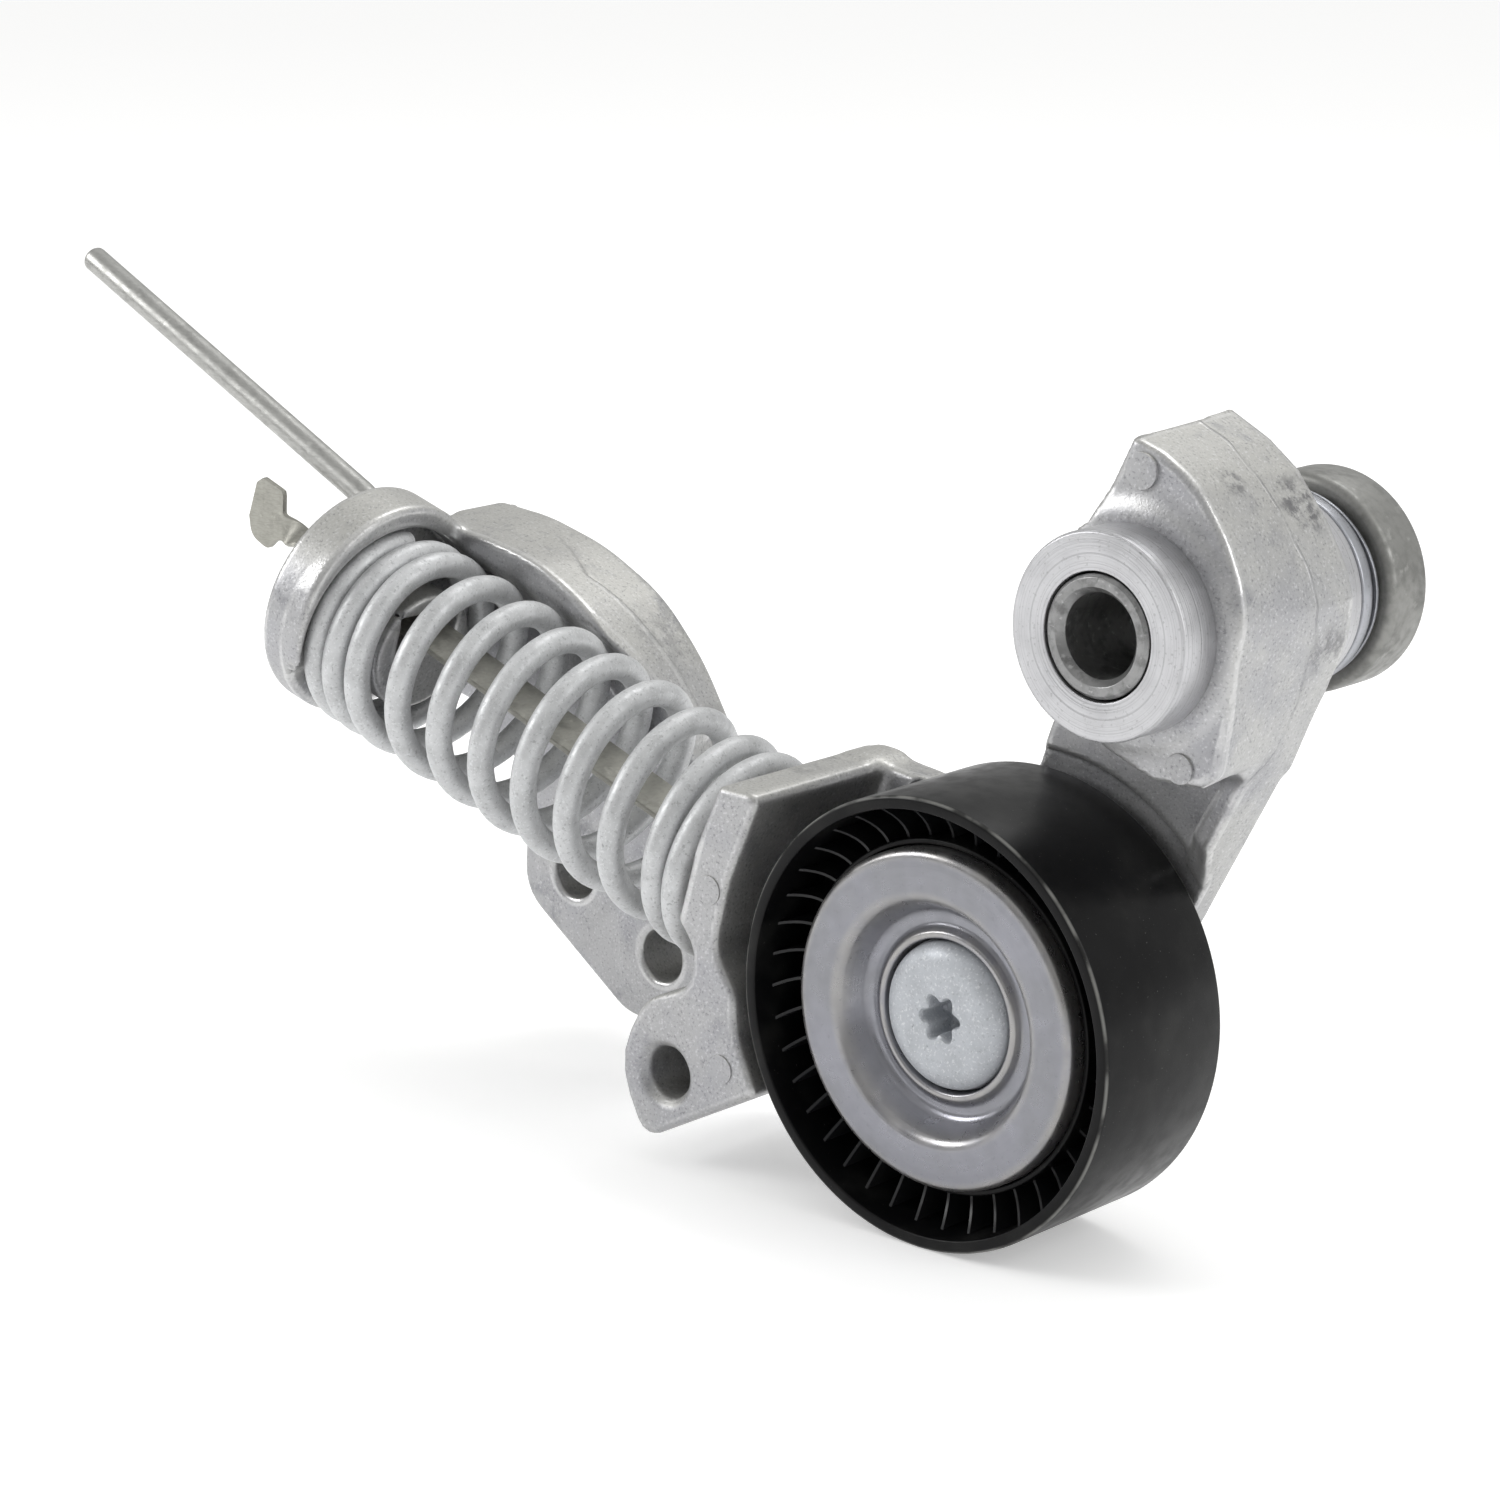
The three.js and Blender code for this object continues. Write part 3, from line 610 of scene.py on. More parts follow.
def plastic_finish(name, colour, roughness=0.4, dust=0.3, gloss=0.25, rim=False):
    """Moulded black plastic: satin, with faint flow marks, fine dust and small nicks. With rim,
    the pulley's outer edges are paler here and there, partly rubbed and partly a painted highlight."""
    f = Finish(name, colour, roughness)
    f.shader.inputs["Specular IOR Level"].default_value = gloss
    f.tint(f.ramp(f.noise(8, 4), 0.45, 0.75, 0, dust), (0.03, 0.03, 0.028))
    f.tint(f.ramp(f.noise(0.35, 2), 0.7, 0.8, 0, 0.5), (0.16, 0.16, 0.15))
    if rim:
        # Paler along the rim's outer edges here and there: partly rubbing, partly a painted highlight.
        middle = (PULLEY["front"] + PULLEY["rear"]) / 2
        half = (PULLEY["rear"] - PULLEY["front"]) / 2
        across = f.ramp(f.math("ABSOLUTE", f.axis("Y", middle)), half - 0.55, half - 0.2)
        outside = f.ramp(f.radius(PULLEY_AXIS), PULLEY["r"] - 0.5, PULLEY["r"] - 0.15)
        rubbed = f.math("MULTIPLY", across, outside)
        f.tint(f.math("MULTIPLY", rubbed, f.ramp(f.noise(5, 5), 0.35, 0.6, 0.1, 0.9)), (0.2, 0.2, 0.19))
    f.polish(f.ramp(f.noise(3, 4), 0.35, 0.7, 0, 0.7), roughness + 0.14)
    f.bump(f.noise(0.3, 2), 0.006)
    f.bump(f.noise(4, 3, (1, 0.2, 1)), 0.012)
    return f.done()


PULLEY_AXIS = (PULLEY["x"], PULLEY["z"])
CAST = cast_finish("cast_aluminium", None, [((-114, -16, -24), 9, 0.3), ((-104, -14, -38), 7, 0.35),
                                            ((-160, -50, -14), 7, 0.3)])
ARM_CAST = cast_finish("arm_aluminium", -31.5, [((13.5, -27, 16), 6, 0.75), ((9, -38, 19), 3, 0.6),
                                              ((18, -27, -4), 5, 0.5), ((-64, -40, -34), 5, 0.4)])
MACHINED = turned_finish("machined_aluminium", (0.55, 0.55, 0.565), (0, 0), 0.85, 0.33, 0.7)
SLEEVE_STEEL = steel_finish("sleeve_steel", (0.3, 0.3, 0.3), 0.32, 0.85, stain=0.7, mottle=2.2)
CAP_STEEL = steel_finish("end_cap_steel", (0.27, 0.27, 0.258), 0.4, 0.8, stain=0.4, mottle=5)
PLATED = turned_finish("plated_steel", (0.4, 0.41, 0.44), (0, 0), 0.9, 0.3, 0.6)
SPRING_COAT = flake_finish("spring_coating", (0.6, 0.608, 0.615), 0.43, 0.45)
BOLT_COAT = flake_finish("bolt_coating", (0.48, 0.5, 0.53), 0.45, 0.35, 0.35)
STRAP_STEEL = steel_finish("strap_steel", (0.36, 0.355, 0.32), 0.36, 0.85, (1, 1, 6), 0.3)
PIN_STEEL = steel_finish("pin_steel", (0.4, 0.4, 0.385), 0.34, 0.85, (0.3, 3, 3), 0.3)
DISH_STEEL = dish_finish("dust_cap_steel")
RING_STEEL = turned_finish("bearing_steel", (0.45, 0.45, 0.45), PULLEY_AXIS, 0.95, 0.22, 0.4)
PULLEY_BLACK = plastic_finish("pulley_black", (0.003, 0.003, 0.0034), 0.28, gloss=0.16, rim=True)
# The vanes are the pulley's own plastic, made lighter as painted light so that their edges look lit.
VANE_PAINTED_LIT = plastic_finish("vane_black_painted_lit", (0.013, 0.0135, 0.015), 0.36, gloss=0.4)
BUSH_BLACK = plastic_finish("bush_black", (0.012, 0.012, 0.012), 0.5)
SEAL_BLACK = plastic_finish("seal_black", (0.012, 0.012, 0.013), 0.6)
CAGE_BROWN = plastic_finish("cage_brown", (0.07, 0.045, 0.025), 0.5)


# ------ base bracket

WALL_TOP = [(-155, -8.4, 2), (-143.5, -9.4, 40), (-131.5, -12.5, 40), (-119.3, -18.6, 30),
            (-110.6, -27.8, 40)]
BASE_OUTLINE = rounded([
    *WALL_TOP, (-103.4, -40, 40), (-97.5, -58, 30), (-97, -86.5, 10), (-118, -84.6, 9),
    (-140.5, -68.5, 8), (-139.3, -50, 12), (-150, -39.5, 8), (-164, -36, 3),
], steps=5)
WALL_OUTLINE = rounded([
    *WALL_TOP, (-104.4, -38, 6), (-109, -41, 2), (-131, -17, 12), (-148, -14.5, 6), (-157, -14.5),
], steps=5)
BASE_POCKET = rounded([
    (-150, -14, 4), (-130, -17, 8), (-110, -40, 8), (-105, -57, 5), (-117, -60, 5),
    (-128, -48, 5), (-139, -38, 5), (-150, -33, 4),
], steps=3)
RIDGE_MIDDLE = -125
STRAP_SLOT = np.array([(78, -3.2), (108, -2.4), (108, 1.6), (78, 3.4)])


def base_shape(x, y, z):
    """Distance to the base bracket's casting."""
    u, v, w = to_local(x, y, z, SPRING_FRAME)
    from_axis = np.hypot(v, w)
    plate = slab(polygon(x, z, BASE_OUTLINE), y, PLATE_FRONT, PLATE_REAR, 1.4)
    wall_flat = polygon(x, z, WALL_OUTLINE)
    wall = slab(wall_flat, y, WALL_FRONT, PLATE_REAR, 1.2)
    # The cup's lip runs out where the lifted rim gets thin, below the spring.
    fall = np.clip(-0.6 - 3.3 * w / np.maximum(from_axis, 1), 0, 1)
    lip = CUP["lip"] - 3.6 * fall * fall * (3 - 2 * fall)
    rim = slab(np.hypot(v, w - CUP["lift"]) - CUP["r"], u, CUP["back"], lip, 1.0)
    # The ridge along the wall's front swells out after the cup and is narrowest at its middle.
    proud = 1.5 * np.clip((x + 148) / 20, 0, 1)
    ridge_end = PLATE_FRONT + np.maximum(0.45 * (RIDGE_MIDDLE - x), 0.25 * (x - RIDGE_MIDDLE))
    ridge = slab(wall_flat - proud, y, WALL_FRONT, ridge_end, 0.6)
    body = blend_join(blend_join(plate, wall, 2.5), ridge, 0.5)
    body = blend_join(body, rim, 2.5)
    for px, pz, r in BASE_HOLES:
        body = blend_join(body, rod(x, y, z, (px, pz), r, -20.9, 0, 0.6), 1.5)
    body = blend_cut(body, slab(from_axis - CUP["bore"], u, 0, 96, 0.4), 1.0)
    body = blend_cut(body, slab(polygon(x, z, BASE_POCKET), y, -15, -8, 1.2), 1.0)
    body = np.minimum(body, slab(from_axis - CUP["hub"], u, -2, 12.2, 1.2))
    for px, pz, _ in BASE_HOLES:
        body = blend_cut(body, rod(x, y, z, (px, pz), BASE_HOLE_R, -24, 2, 0.1), 0.7)
    s, t, n = to_local(x, y, z, STRAP_FRAME)
    slot = slab(polygon(s, n, STRAP_SLOT), t, -6.2, 6.2, 0.2)
    return blend_cut(body, slot, 0.5)


# ------ arm

BLOCK_NEAR = rounded([
    (-1.1, 25.2), (3.3, 23.8, 8), (7, 21.6, 8), (9.9, 19.3, 12), (14, 13.5, 16), (16.6, 8, 16),
    (17.6, 2.8, 12), (14.2, -18.4, 3), (11.2, -20.3), (3, -20.4), (-0.3, -19.3), (-5, -17),
    (-13.5, 1.5),
], steps=3)
BLOCK_FAR = np.array([
    (-1.6, 26.2), (5, 22.8), (9.6, 19.3), (14.6, 12.9), (18.1, 6.6), (19.2, 2.7), (18.4, -2.9),
    (13.6, -12), (9, -21.5), (3, -22), (-13.5, -8), (-13.5, 1.5),
])
WEB_OUTLINE = rounded([
    (-3, 21.5, 1.5), (7, 17, 12), (16.5, 3, 10), (15, -6, 10), (9, -22, 30), (-4.7, -47, 40),
    (-12, -74, 16), (-40, -81, 20), (-62, -76), (-64, -31, 2), (-51, -32.8, 10),
    (-38, -35.4, 10), (-30, -28.4, 3), (-26.9, -20.4, 6),
], steps=3)
RIB_OUTLINE = rounded([
    (13.6, -10), (9, -22, 30), (-4.7, -47, 10), (-8.5, -45.5), (5.2, -21.6, 30), (9, -10),
], steps=3)
SEAT_OUTLINE = rounded([
    (-65.6, -31.3, 1), (-57.6, -31.6, 1.5), (-63.8, -45.5, 12), (-66.6, -56, 6), (-62.6, -62, 6),
    (-62.3, -68.5, 10), (-58.6, -76.3, 0.8), (-80.8, -88, 3), (-86.4, -76.5, 14),
    (-80.6, -66.2, 8), (-71.2, -62.5, 5), (-70.6, -56.6, 5), (-75, -51.2, 2),
], steps=3)
BOSS_ROOT = 15.2
STRAP_WEDGE = np.array([(0, -0.9), (12, -4.4), (12, 1.3), (0, 0.9)])


def arm_shape(x, y, z):
    """Distance to the arm's casting."""
    to_pulley = np.hypot(x - PULLEY["x"], z - PULLEY["z"])
    to_pivot = np.hypot(x, z)
    t = np.clip((y - BLOCK_FRONT) / (ARM_REAR - BLOCK_FRONT), 0, 1)
    loft = polygon(x, z, BLOCK_NEAR) * (1 - t) + polygon(x, z, BLOCK_FAR) * t
    block = slab(loft, y, BLOCK_FRONT, ARM_REAR, 0.8)
    root = slab(to_pivot - BOSS_ROOT, y, BLOCK_FRONT - 0.4, ARM_REAR, 0.5)
    web = slab(polygon(x, z, WEB_OUTLINE), y, WEB_FRONT, ARM_REAR, 0.9)
    web = blend_cut(web, slab(to_pulley - 34.7, y, -40, WEB_FRONT + 0.8, 0.3), 0.5)
    rib_front = -32 + 3.2 * np.clip((39.5 - to_pulley) / 5, 0, 1)
    rib = slab(polygon(x, z, RIB_OUTLINE), y, rib_front, ARM_REAR, 0.8)
    seat = slab(polygon(x, z, SEAT_OUTLINE), y, SEAT_FRONT, ARM_REAR, 1.1)
    body = np.maximum(blend_join(block, root, 4.5), np.minimum(loft, to_pivot - BOSS_ROOT))
    body = blend_join(body, blend_join(web, rib, 1.2), 3.0)
    body = blend_join(body, seat, 3.0)
    body = blend_cut(body, slab(to_pulley - PULLEY["r"] - 0.8, y, -60, WEB_FRONT + 0.8, 0.3), 0.5)
    body = np.minimum(body, rod(x, y, z, PULLEY_AXIS, 11.4, -34.7, -20, 0.5))
    body = np.minimum(body, rod(x, y, z, PULLEY_AXIS, 8.2, -46, -30, 0.5))
    body = blend_join(body, rod(x, y, z, (0, 0), 14, -30, -16.5, 0.5), 1.2)
    body = blend_cut(body, to_pivot - BOSS["bush"] - 0.2 + 0 * y, 0.5)
    body = blend_cut(body, rod(x, y, z, PULLEY_AXIS, 5.2, -60, 0, 0.1), 0.4)
    to_lock = np.hypot(x - LOCK_HOLE["x"], z - LOCK_HOLE["z"])
    hole = slab(to_lock - LOCK_HOLE["r"], y, -60, -10, 0.1)
    cone = to_lock - LOCK_HOLE["flare"] + (y - SEAT_FRONT)
    body = blend_cut(body, np.minimum(hole, np.maximum(cone, y - SEAT_FRONT - 1.6)), 0.4)
    u, v, w = to_local(x, y, z, SPRING_FRAME)
    body = blend_cut(body, slab(np.hypot(v, w) - SEAT["r"], u, SEAT["mouth"], SEAT["floor"], 0.3), 0.7)
    s, across, n = to_local(x, y, z, STRAP_FRAME)
    hook = np.maximum(np.minimum(np.hypot(s, n), np.maximum(s, np.abs(n))) - 2.2, s - 5)
    body = blend_cut(body, slab(hook, across, -8, 8, 0.2), 0.4)
    return blend_cut(body, slab(polygon(s, n, STRAP_WEDGE), across, -4.9, 4.9, 0.2), 0.5)


EJECTOR_MARKS = [  # x, z, radius and the y of the face
    (0.7, 21.0, 2.5, BLOCK_FRONT - 0.3), (7.9, -18.0, 2.1, BLOCK_FRONT - 0.2),
    (-67.4, -47.0, 2.2, SEAT_FRONT), (-65.2, -73.6, 2.2, SEAT_FRONT),
]


def ejector_mark(index, x, z, r, y, body):
    """The faint proud disc that an ejector pin leaves on a casting."""
    corners = [(0.02, y + 1), (0.02, y - 0.22), (r, y - 0.22, 0.05), (r + 0.05, y + 1)]
    name = f"ejector_mark_{index}"
    return lathe(name, corners, body, ARM_CAST, {"x": x, "z": z}, 48)


def castings():
    """Both castings, the bosses turned on the arm, and its ejector marks."""
    base = casting("bracket_casting", base_shape, (-176, -60.5, -88), (-93, 2, 2), 0.6, "base",
                   CAST)
    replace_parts(base, "base_bracket")
    arm = casting("arm_casting", arm_shape, (-90, -58, -92), (23, -13, 29), 0.62, "arm", ARM_CAST)
    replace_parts(arm, "tensioner_arm")
    face, r = BOSS["front"], BOSS["r"]
    boss = [(8.75, face, 0.2), (r, face, 0.5), (r, -46.8), (r - 0.2, -46.5), (r - 0.2, -44),
            (9.9, -44), (9.9, face + 0.7), (8.75, face + 0.7)]
    lathe("pivot_boss_machined", boss, "arm", MACHINED)
    rear = [(9.9, -22), (13.95, -22), (13.95, -18.6, 0.3), (13.5, -18.4), (13.5, -17.9),
            (13.95, -17.7, 0.3), (13.95, -13.4, 0.4), (9.9, -13.4, 0.3)]
    lathe("rear_boss_machined", rear, "arm", MACHINED)
    for i, (x, z, r, y) in enumerate(EJECTOR_MARKS):
        ejector_mark(i + 1, x, z, r, y, "arm")


# ------ pivot stack

def pivot_stack():
    """What sits on the pivot's axis, from the front to the engine."""
    sleeve = [(5.8, -53.5, 0.3), (6.7, -54.6, 0.2), (7.9, -54.6, 0.2), (8.4, -54.1, 0.2),
              (8.4, 0, 0.3), (5.8, 0, 0.5)]
    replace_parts(lathe("sleeve", sleeve, "base", SLEEVE_STEEL), "pivot_sleeve")
    for node, front, rear in (("pivot_bush_front", -53.6, -34.3),
                              ("pivot_bush_rear", -33.7, -13.4)):
        inside, outside = BOSS["sleeve"], BOSS["bush"]
        corners = [(inside, front, 0.2), (outside, front, 0.2), (outside, rear, 0.2),
                   (inside, rear, 0.2)]
        bush = lathe(node.replace("pivot_", ""), corners, "arm", BUSH_BLACK)
        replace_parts(bush, node)
    disc = [(9, -13.1, 0.2), (13.9, -13.1, 0.4), (13.9, -10.7, 0.4), (9, -10.7, 0.2)]
    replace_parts(lathe("thrust_disc", disc, "arm", PLATED), "friction_disc")
    washer = [(9.1, -10.0, 0.1), (13.7, -10.0, 0.15), (13.7, -9.4, 0.15), (9.1, -9.4, 0.1)]
    wavy = lathe("spring_washer", washer, "base", PLATED,
                 wave=lambda a: 0.33 * np.cos(3 * a))
    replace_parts(wavy, "wave_washer")
    cap = [(8.7, -8.5, 0.3), (15.6, -8.5, 1.3), (15.6, 0, 0.7), (8.7, 0, 0.3)]
    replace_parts(lathe("end_cap", cap, "base", CAP_STEEL), "pivot_end_cap")


# ------ pulley

VANES = 40
VANE_THICK = 0.44


def vane_ring(name, inner, outer, root, front, swing, sign):
    """Thin ribs between the hub and the rim; their free edges curve up towards the rim."""
    points, faces = [], []
    rows, columns = 7, 4
    last = (rows - 1) * columns
    ends = [(3, 2, 1, 0), (last, last + 1, last + 2, last + 3)]
    for k in range(VANES):
        angle = 2 * math.pi * k / VANES
        start = len(points)
        for r in np.linspace(inner, outer, rows):
            t = (r - inner) / (outer - inner)
            edge = front - sign * swing * t * t
            turn = angle + 0.05 * t * t
            half = VANE_THICK / 2
            for side, y in ((-half, edge), (half, edge), (half, root), (-half, root)):
                a = turn + side / r
                points.append((PULLEY["x"] + r * math.cos(a), y, PULLEY["z"] + r * math.sin(a)))
        own = grid_faces(rows, columns, False, True) + ends
        local = np.array(points[start:])
        faces += [tuple(start + i for i in face) for face in outward(local, own)]
    return make_piece(name, points, faces, "pulley", VANE_PAINTED_LIT)


def pulley():
    """The shell with its hub, web, rim and vanes, and the bearing's rings and seals."""
    front, rear, r, inside = (PULLEY[key] for key in ("front", "rear", "r", "inside"))
    shell = [
        (20.3, -34.6), (20.3, -47.4), (24.4, -48.4), (24.7, -50.9, 0.2), (25.5, -50.9, 0.3),
        (25.8, -44.6, 0.5), (inside - 0.2, -44.6, 0.6), (inside, front, 0.25), (r, front, 0.6),
        (r, rear, 0.6), (inside, rear, 0.25), (inside - 0.2, -41.4, 0.6), (26.2, -41.4, 0.5),
        (25.5, -34.6, 0.3),
    ]
    body = lathe("pulley_body", shell, "pulley", PULLEY_BLACK, PULLEY, 180)
    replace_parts(body, "pulley_shell")
    vane_ring("front_vanes", 25.3, 30.9, -44.2, -49.0, 3.6, 1)
    vane_ring("rear_vanes", 26.0, 30.9, -41.8, -37.2, 2.4, -1)
    half, y = BEARING["half"], BEARING["y"]
    rim, bore = BEARING["outer"], BEARING["inner"]
    outer = [(16.9, y - half, 0.4), (rim, y - half, 0.7), (rim, y + half, 0.7),
             (16.9, y + half, 0.4), (16.9, y + 2.4), (17.75, y, 2), (16.9, y - 2.4)]
    inner = [(bore, y - half, 0.5), (11.7, y - half, 0.3), (11.7, y - 2.4), (10.75, y, 2),
             (11.7, y + 2.4), (11.7, y + half, 0.3), (bore, y + half, 0.5)]
    ring = lathe("outer_race", outer, "pulley", RING_STEEL, PULLEY)
    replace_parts(ring, "bearing_outer_ring")
    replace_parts(lathe("inner_race", inner, "arm", RING_STEEL, PULLEY),
                "bearing_inner_ring")
    for node, side in (("bearing_seal_front", -1), ("bearing_seal_rear", 1)):
        near, far = y + side * 5, y + side * 5.7
        corners = [(12, near), (16.6, near), (16.6, far, 0.2), (15.6, far), (15.2, far - side * 0.3),
                   (13.4, far - side * 0.3), (13, far), (12, far, 0.2)]
        seal = lathe(node.replace("bearing_", ""), corners, "pulley", SEAL_BLACK,
                     PULLEY)
        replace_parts(seal, node)


def dust_cap():
    """The pressed dish under the bolt's head, which covers the bearing."""
    corners = [
        (5.3, -48.4), (10.95, -48.4, 0.2), (11.2, -50.3, 0.4), (12.1, -50.3, 0.6),
        (12.9, -49.1, 1.0), (15.0, -49.0, 2.2), (17.3, -53.6, 2.0), (24.5, -53.6, 1.3),
        (24.5, -50.2, 0.2), (23.5, -50.2, 0.2), (23.5, -52.5, 0.4), (17.8, -52.5, 0.9),
        (15.2, -47.2, 1.2), (11.5, -47.2, 0.4), (5.3, -47.4),
    ]
    cap = lathe("dust_cap_dish", corners, "arm", DISH_STEEL, PULLEY, 160)
    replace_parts(cap, "dust_cap")


def bolt():
    """Low domed flange head with a six-lobed socket, on a plain shank."""
    rows = [  # radius, depth of the six lobes, y
        (0.0, 0, -46.4), (2.55, 0.3, -46.4), (2.75, 0.5, -46.8), (2.85, 0.55, -50.9),
        (3.0, 0.55, -51.4), (3.3, 0.45, -51.65), (4.2, 0.1, -51.72), (5.6, 0, -51.74),
        (7.2, 0, -51.7), (8.0, 0, -51.62), (8.6, 0, -51.42), (9.3, 0, -51.1), (9.9, 0, -50.7),
        (10.4, 0, -50.1), (10.65, 0, -49.5), (10.7, 0, -49.0), (10.5, 0, -48.7), (4.9, 0, -48.7),
        (4.9, 0, -21), (4.1, 0, -20),
        (0.0, 0, -20),
    ]
    segments = 120
    points = []
    for r, lobe, y in rows:
        for k in range(segments):
            a = 2 * math.pi * k / segments
            reach = r + lobe * math.cos(6 * a)
            points.append((PULLEY["x"] + reach * math.cos(a), y, PULLEY["z"] + reach * math.sin(a)))
    first, last = points[0], points[-1]
    points = [first] + points[segments:-segments] + [last]
    inner = grid_faces(len(rows) - 2, segments, False, True)
    faces = [tuple(1 + i for i in face) for face in inner]
    end = len(points) - 1
    for k in range(segments):
        k2 = (k + 1) % segments
        faces.append((1 + k2, 1 + k, 0))
        faces.append((end - segments + k, end - segments + k2, end))
    piece = make_piece("flange_bolt", points, outward(np.array(points), faces), "arm", BOLT_COAT)
    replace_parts(piece, "pulley_bolt")


# ------ spring, strap and pin

def coil_station(turn):
    """How far along the spring its wire is after so many turns."""
    opened = np.clip(turn, COILS["open"], COILS["close"]) - COILS["open"]
    pitch = COILS["active"] - COILS["closed"]
    return SPRING["wire"] / 2 + COILS["closed"] * turn + pitch * opened


def spring():
    """Right-handed helix of round wire whose closed ends sit in the cup and in the arm."""
    turn = np.linspace(0, COILS["turns"], int(COILS["turns"] * 56))
    angle = COILS["start"] + 2 * math.pi * turn
    local = np.stack([coil_station(turn), SPRING["r"] * np.cos(angle),
                      SPRING["r"] * np.sin(angle)], axis=1)
    outward_up = np.stack([0 * turn, np.cos(angle), np.sin(angle)], axis=1)
    section = np.repeat(circle(SPRING["wire"] / 2, 20)[None], len(turn), axis=0)
    section[0] *= 0.86
    section[-1] *= 0.86
    path = moved(local, SPRING_FRAME)
    up = outward_up @ np.array(SPRING_FRAME)[:3, :3].T
    points, faces = sweep(path, section, up)
    piece = make_piece("coil_spring", points, faces, None, SPRING_COAT, 50)
    # From the first coil, in the cup, to the last one, in the arm's seat.
    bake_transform(piece)
    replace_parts(piece, "compression_spring")


def drill(piece, r):
    """Cuts the locking pin's round hole through a piece."""
    up = np.array([0, math.sin(PIN["lean"]), math.cos(PIN["lean"])])
    path = np.array([PIN["station"], 0, 0]) + up * np.array([-4, -1.3, 1.3, 4])[:, None]
    turn = np.array(STRAP_FRAME)[:3, :3]
    points, faces = sweep(moved(path, STRAP_FRAME), circle(r, 48), np.repeat([turn[:, 0]], 4, 0))
    mesh = bpy.data.meshes.new("drill")
    mesh.from_pydata((points * MM).tolist(), [], faces)
    tool = bpy.data.objects.new("drill", mesh)
    bpy.context.scene.collection.objects.link(tool)
    cut = piece.modifiers.new("hole", "BOOLEAN")
    cut.operation = "DIFFERENCE"
    cut.solver = "EXACT"
    cut.object = tool
    shape = piece.evaluated_get(bpy.context.evaluated_depsgraph_get())
    drilled = bpy.data.meshes.new_from_object(shape)
    piece.modifiers.clear()
    piece.data = drilled
    drilled.shade_smooth()
    drilled.set_sharp_from_angle(angle=math.radians(35))
    bpy.data.objects.remove(tool)


def strap():
    """Flat strip with a rolled hook in the arm, narrowed and twisted upright at its head."""
    stations = np.concatenate([np.linspace(0, 106, 40), np.linspace(107, 123.4, 42)])
    strip, neck = STRAP["half"], 2.2
    top = rounded([(104, strip), (108.5, strip, 0.4), (109.4, neck, 1.2), (116.0, neck, 2.2),
                   (117.6, 5.2, 1.8), (121.9, 4.9, 2.6), (123.4, 2)], closed=False)
    low = rounded([(104, strip), (108.5, strip, 0.4), (109.4, neck, 1.2), (116.2, neck, 0.8),
                   (117.2, 5.8, 0.6), (122.2, 5.8, 0.8), (123.4, 4.4)], closed=False)
    above = np.interp(stations, top[:, 0], top[:, 1])
    below = np.interp(stations, low[:, 0], low[:, 1])
    twist = np.clip((stations - 109.5) / 6.2, 0, 1)
    twist = (twist * twist * (3 - 2 * twist)) * math.pi / 2
    half = STRAP["thick"] / 2
    section = np.stack([np.stack([side, np.full_like(side, lift)], axis=1) for side, lift in (
        (-below + 0.2, -half), (above - 0.2, -half), (above, -half + 0.2), (above, half - 0.2),
        (above - 0.2, half), (-below + 0.2, half), (-below, half - 0.2), (-below, -half + 0.2))],
        axis=1)
    path = moved(np.stack([stations, 0 * stations, 0 * stations], axis=1), STRAP_FRAME)
    turn = np.array(STRAP_FRAME)[:3, :3]
    up = np.stack([0 * twist, -np.sin(twist), np.cos(twist)], axis=1) @ turn.T
    points, faces = sweep(path, section, up)
    piece = make_piece("strap_strip", points, faces, None, STRAP_STEEL)
    drill(piece, PIN["r"] + 0.25)
    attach(piece, "strap")
    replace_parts(piece, "tension_strap")
    ends = np.array([(-7.5, 0, 0), (-7.2, 0, 0), (7.2, 0, 0), (7.5, 0, 0)])
    bar = moved(ends[:, [1, 0, 2]], STRAP_FRAME)
    rolled = np.repeat(circle(1.7, 24)[None], 4, axis=0)
    rolled[[0, 3]] *= 0.82
    points, faces = sweep(bar, rolled, np.repeat([turn[:, 2]], 4, axis=0))
    make_piece("strap_hook", points, faces, "strap", STRAP_STEEL)


def pin():
    """Round bar, pushed through the strap behind the cup and bent into a long handle."""
    up = np.array([0, math.sin(PIN["lean"]), math.cos(PIN["lean"])])
    out = np.array([0.995, 0, 0.1025])
    out /= np.linalg.norm(out)
    at = np.array([PIN["station"], 0, 0])
    foot, corner = at - up * PIN["below"], at + up * PIN["leg"]
    start, end = corner - up * PIN["bend"], corner + out * PIN["bend"]
    tip = corner + out * PIN["handle"]
    t = np.linspace(0, 1, 17)[:, None]
    bend = (1 - t) ** 2 * start + 2 * t * (1 - t) * corner + t * t * end
    leg = [foot, foot + up * 0.5, foot + up * 0.9, (foot + start) / 2]
    handle = [end + (tip - end) * k for k in (0.25, 0.5, 0.75)] + [tip - out * 0.7, tip - out * 0.35]
    path = np.array([*leg, *bend, *handle, tip])
    section = np.repeat(circle(PIN["r"], 32)[None], len(path), axis=0)
    section[0] *= 0.8
    section[1] *= 0.97
    section[-1] *= 0.84
    section[-2] *= 0.97
    turn = np.array(STRAP_FRAME)[:3, :3]
    side = np.cross(up, out) @ turn.T
    points, faces = sweep(moved(path, STRAP_FRAME), section, np.repeat([side], len(path), axis=0))
    piece = make_piece("bent_pin", points, faces, "pin", PIN_STEEL, 40)
    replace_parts(piece, "locking_pin")


# ------ stage, light and camera

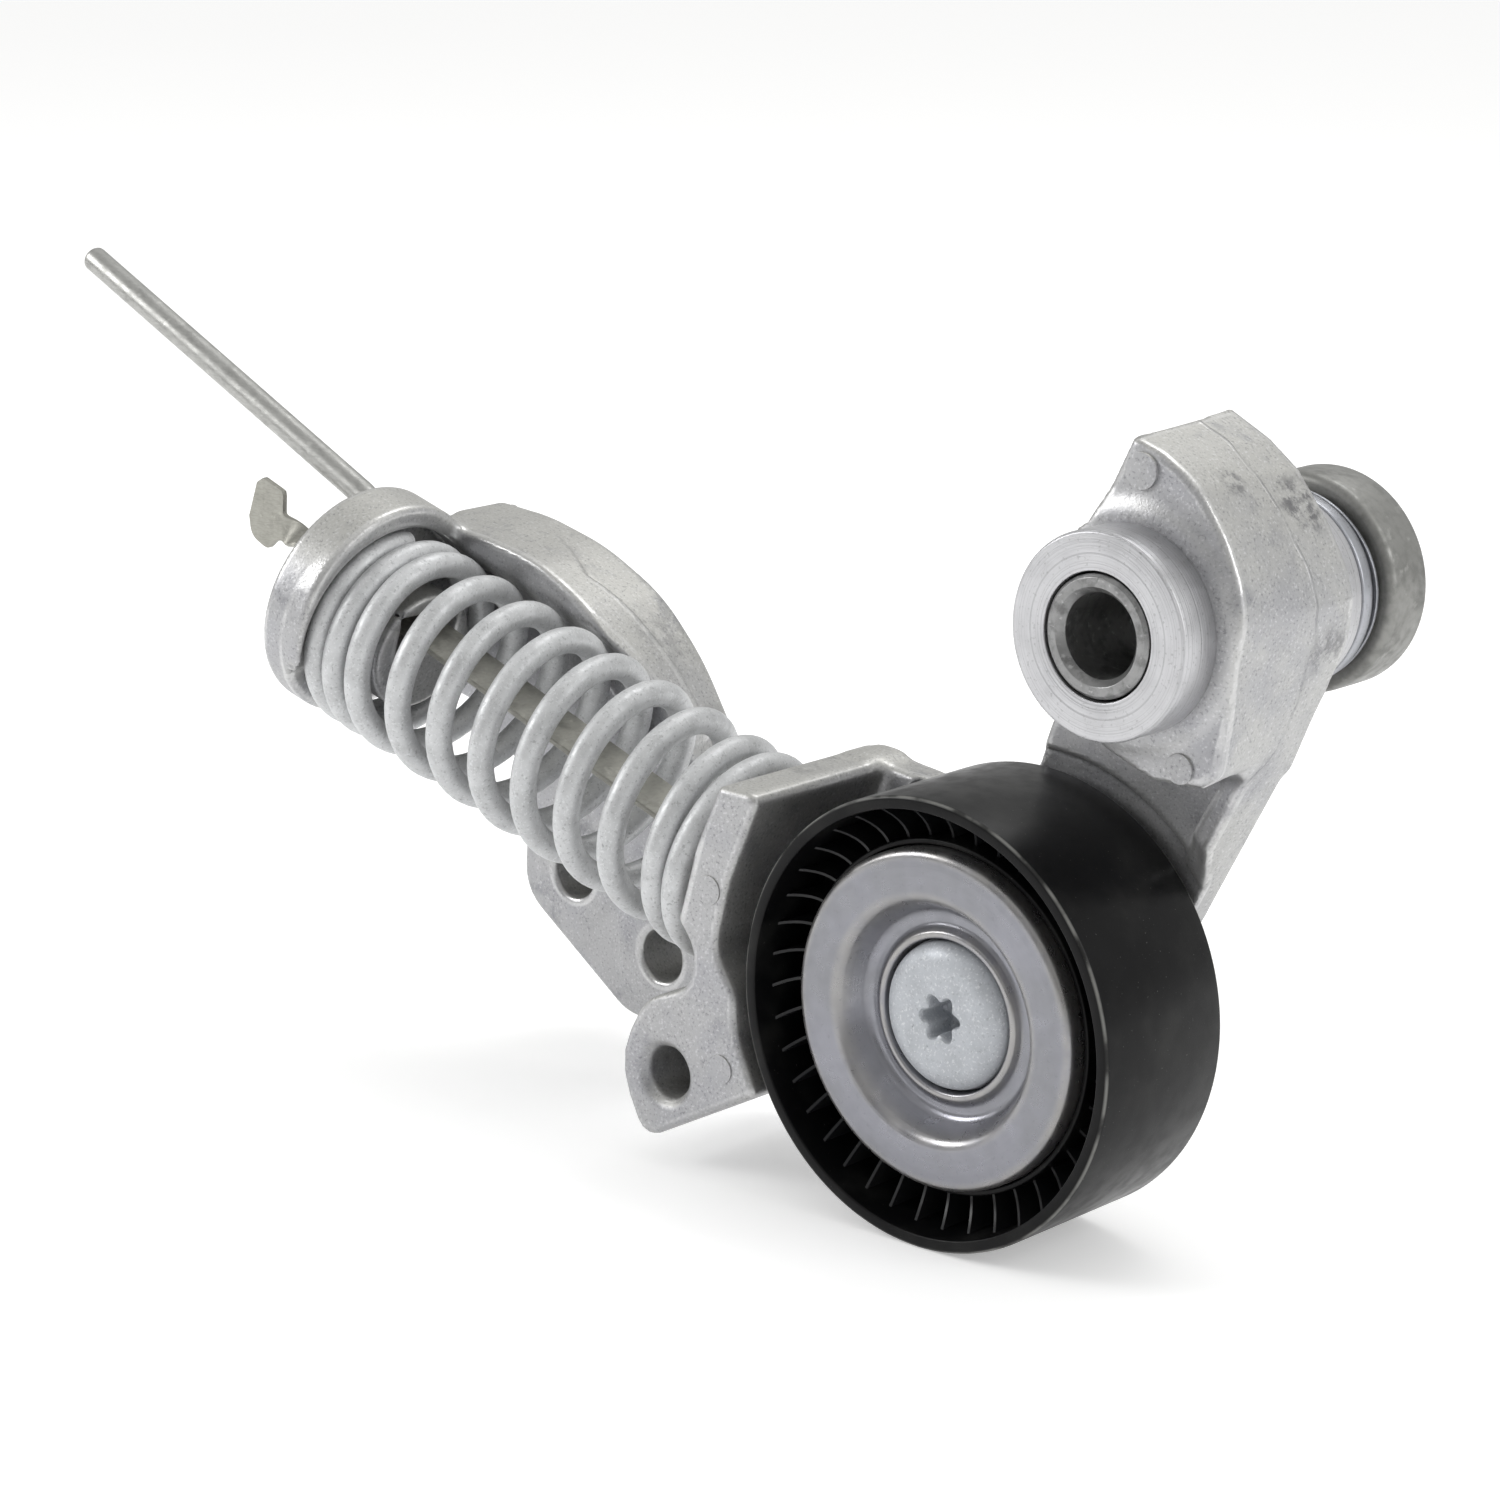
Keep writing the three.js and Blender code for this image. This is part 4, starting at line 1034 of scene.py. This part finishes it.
# The floor, the lamps and the camera are placed in metres.
FLOOR_REACH, FLOOR_GLOW = 40, 0.34
LAMPS = [  # name, place, size, watts
    ("key", (-0.95, -0.7, 0.5), (0.5, 0.5), 5.5),
    ("side", (0.9, 0.1, 0.45), (0.4, 0.7), 3.0),
    ("top", (-0.1, 0.5, 1.0), (0.6, 0.6), 3.0),
]
ROOM = {"brightest": (0.15, 0.45, 0.88), "from": -0.5, "to": 0.85, "dark": 0.2, "bright": 0.78}
CAMERA = {"at": (0.3242, -0.4828, 0.1201), "look": (-0.648, 0.721, -0.245), "lens": 100.8}


def stage():
    """A pale floor under the lowest point, bright enough to fade into the background."""
    low = cad_box[0].z
    mesh = bpy.data.meshes.new("floor")
    signs = ((-1, -1), (1, -1), (1, 1), (-1, 1))
    corners = [(x * FLOOR_REACH, y * FLOOR_REACH, low) for x, y in signs]
    mesh.from_pydata(corners, [], [(0, 1, 2, 3)])
    floor = bpy.data.objects.new("floor", mesh)
    bpy.context.scene.collection.objects.link(floor)
    f = Finish("pale_floor", (0.9, 0.9, 0.9), 0.8)
    f.tint(f.ramp(f.noise(400, 2), 0.3, 0.7, 0, 0.3), (0.88, 0.88, 0.88))
    f.shader.inputs["Emission Color"].default_value = (1, 1, 1, 1)
    f.shader.inputs["Emission Strength"].default_value = FLOOR_GLOW
    mesh.materials.append(f.done())


def area_light(name, at, target, size, power):
    """A soft rectangular lamp turned to its target."""
    light = bpy.data.lights.new(name, "AREA")
    light.shape = "RECTANGLE"
    light.size, light.size_y = size
    light.energy = power
    lamp = bpy.data.objects.new(name, light)
    bpy.context.scene.collection.objects.link(lamp)
    lamp.location = at
    lamp.rotation_euler = (Vector(target) - Vector(at)).to_track_quat("-Z", "Y").to_euler()


def lights():
    """A pale room, brighter above and behind and plain white where it is seen, with three soft
    lamps."""
    world = bpy.data.worlds.new("studio")
    bpy.context.scene.world = world
    world.use_nodes = True
    nodes, links = world.node_tree.nodes, world.node_tree.links
    place = nodes.new("ShaderNodeTexCoord").outputs["Generated"]
    toward = nodes.new("ShaderNodeVectorMath")
    toward.operation = "DOT_PRODUCT"
    toward.inputs[1].default_value = Vector(ROOM["brightest"]).normalized()
    links.new(place, toward.inputs[0])
    ramp = nodes.new("ShaderNodeMapRange")
    sockets = {"From Min": "from", "From Max": "to", "To Min": "dark", "To Max": "bright"}
    for name, key in sockets.items():
        ramp.inputs[name].default_value = ROOM[key]
    links.new(toward.outputs["Value"], ramp.inputs["Value"])
    seen = nodes.new("ShaderNodeMath")
    seen.operation = "MAXIMUM"
    links.new(ramp.outputs[0], seen.inputs[0])
    links.new(nodes.new("ShaderNodeLightPath").outputs["Is Camera Ray"], seen.inputs[1])
    links.new(seen.outputs[0], nodes["Background"].inputs["Strength"])
    nodes["Background"].inputs["Color"].default_value = (1, 1, 0.99, 1)
    middle = (-0.09, -0.03, -0.03)
    for name, at, size, power in LAMPS:
        area_light(name, at, middle, size, power)


def camera():
    """A long lens from the front right, a little above."""
    data = bpy.data.cameras.new("camera")
    data.lens = CAMERA["lens"]
    data.sensor_width = 36
    data.clip_start, data.clip_end = 0.01, 100
    lens = bpy.data.objects.new("camera", data)
    bpy.context.scene.collection.objects.link(lens)
    lens.location = CAMERA["at"]
    lens.rotation_euler = Vector(CAMERA["look"]).to_track_quat("-Z", "Y").to_euler()
    bpy.context.scene.camera = lens
    bpy.context.scene.view_settings.view_transform = "Standard"


# ------ the whole scene

def finish_hidden_bearing():
    """The balls and the cage keep their CAD shapes inside the bearing."""
    for name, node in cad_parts.items():
        if name.startswith("bearing_ball") or name == "bearing_cage":
            node.data.materials.clear()
            node.data.materials.append(CAGE_BROWN if name == "bearing_cage" else RING_STEEL)
            node.data.shade_smooth()


castings()
pivot_stack()
pulley()
dust_cap()
bolt()
spring()
strap()
pin()
finish_hidden_bearing()
stage()
lights()
camera()
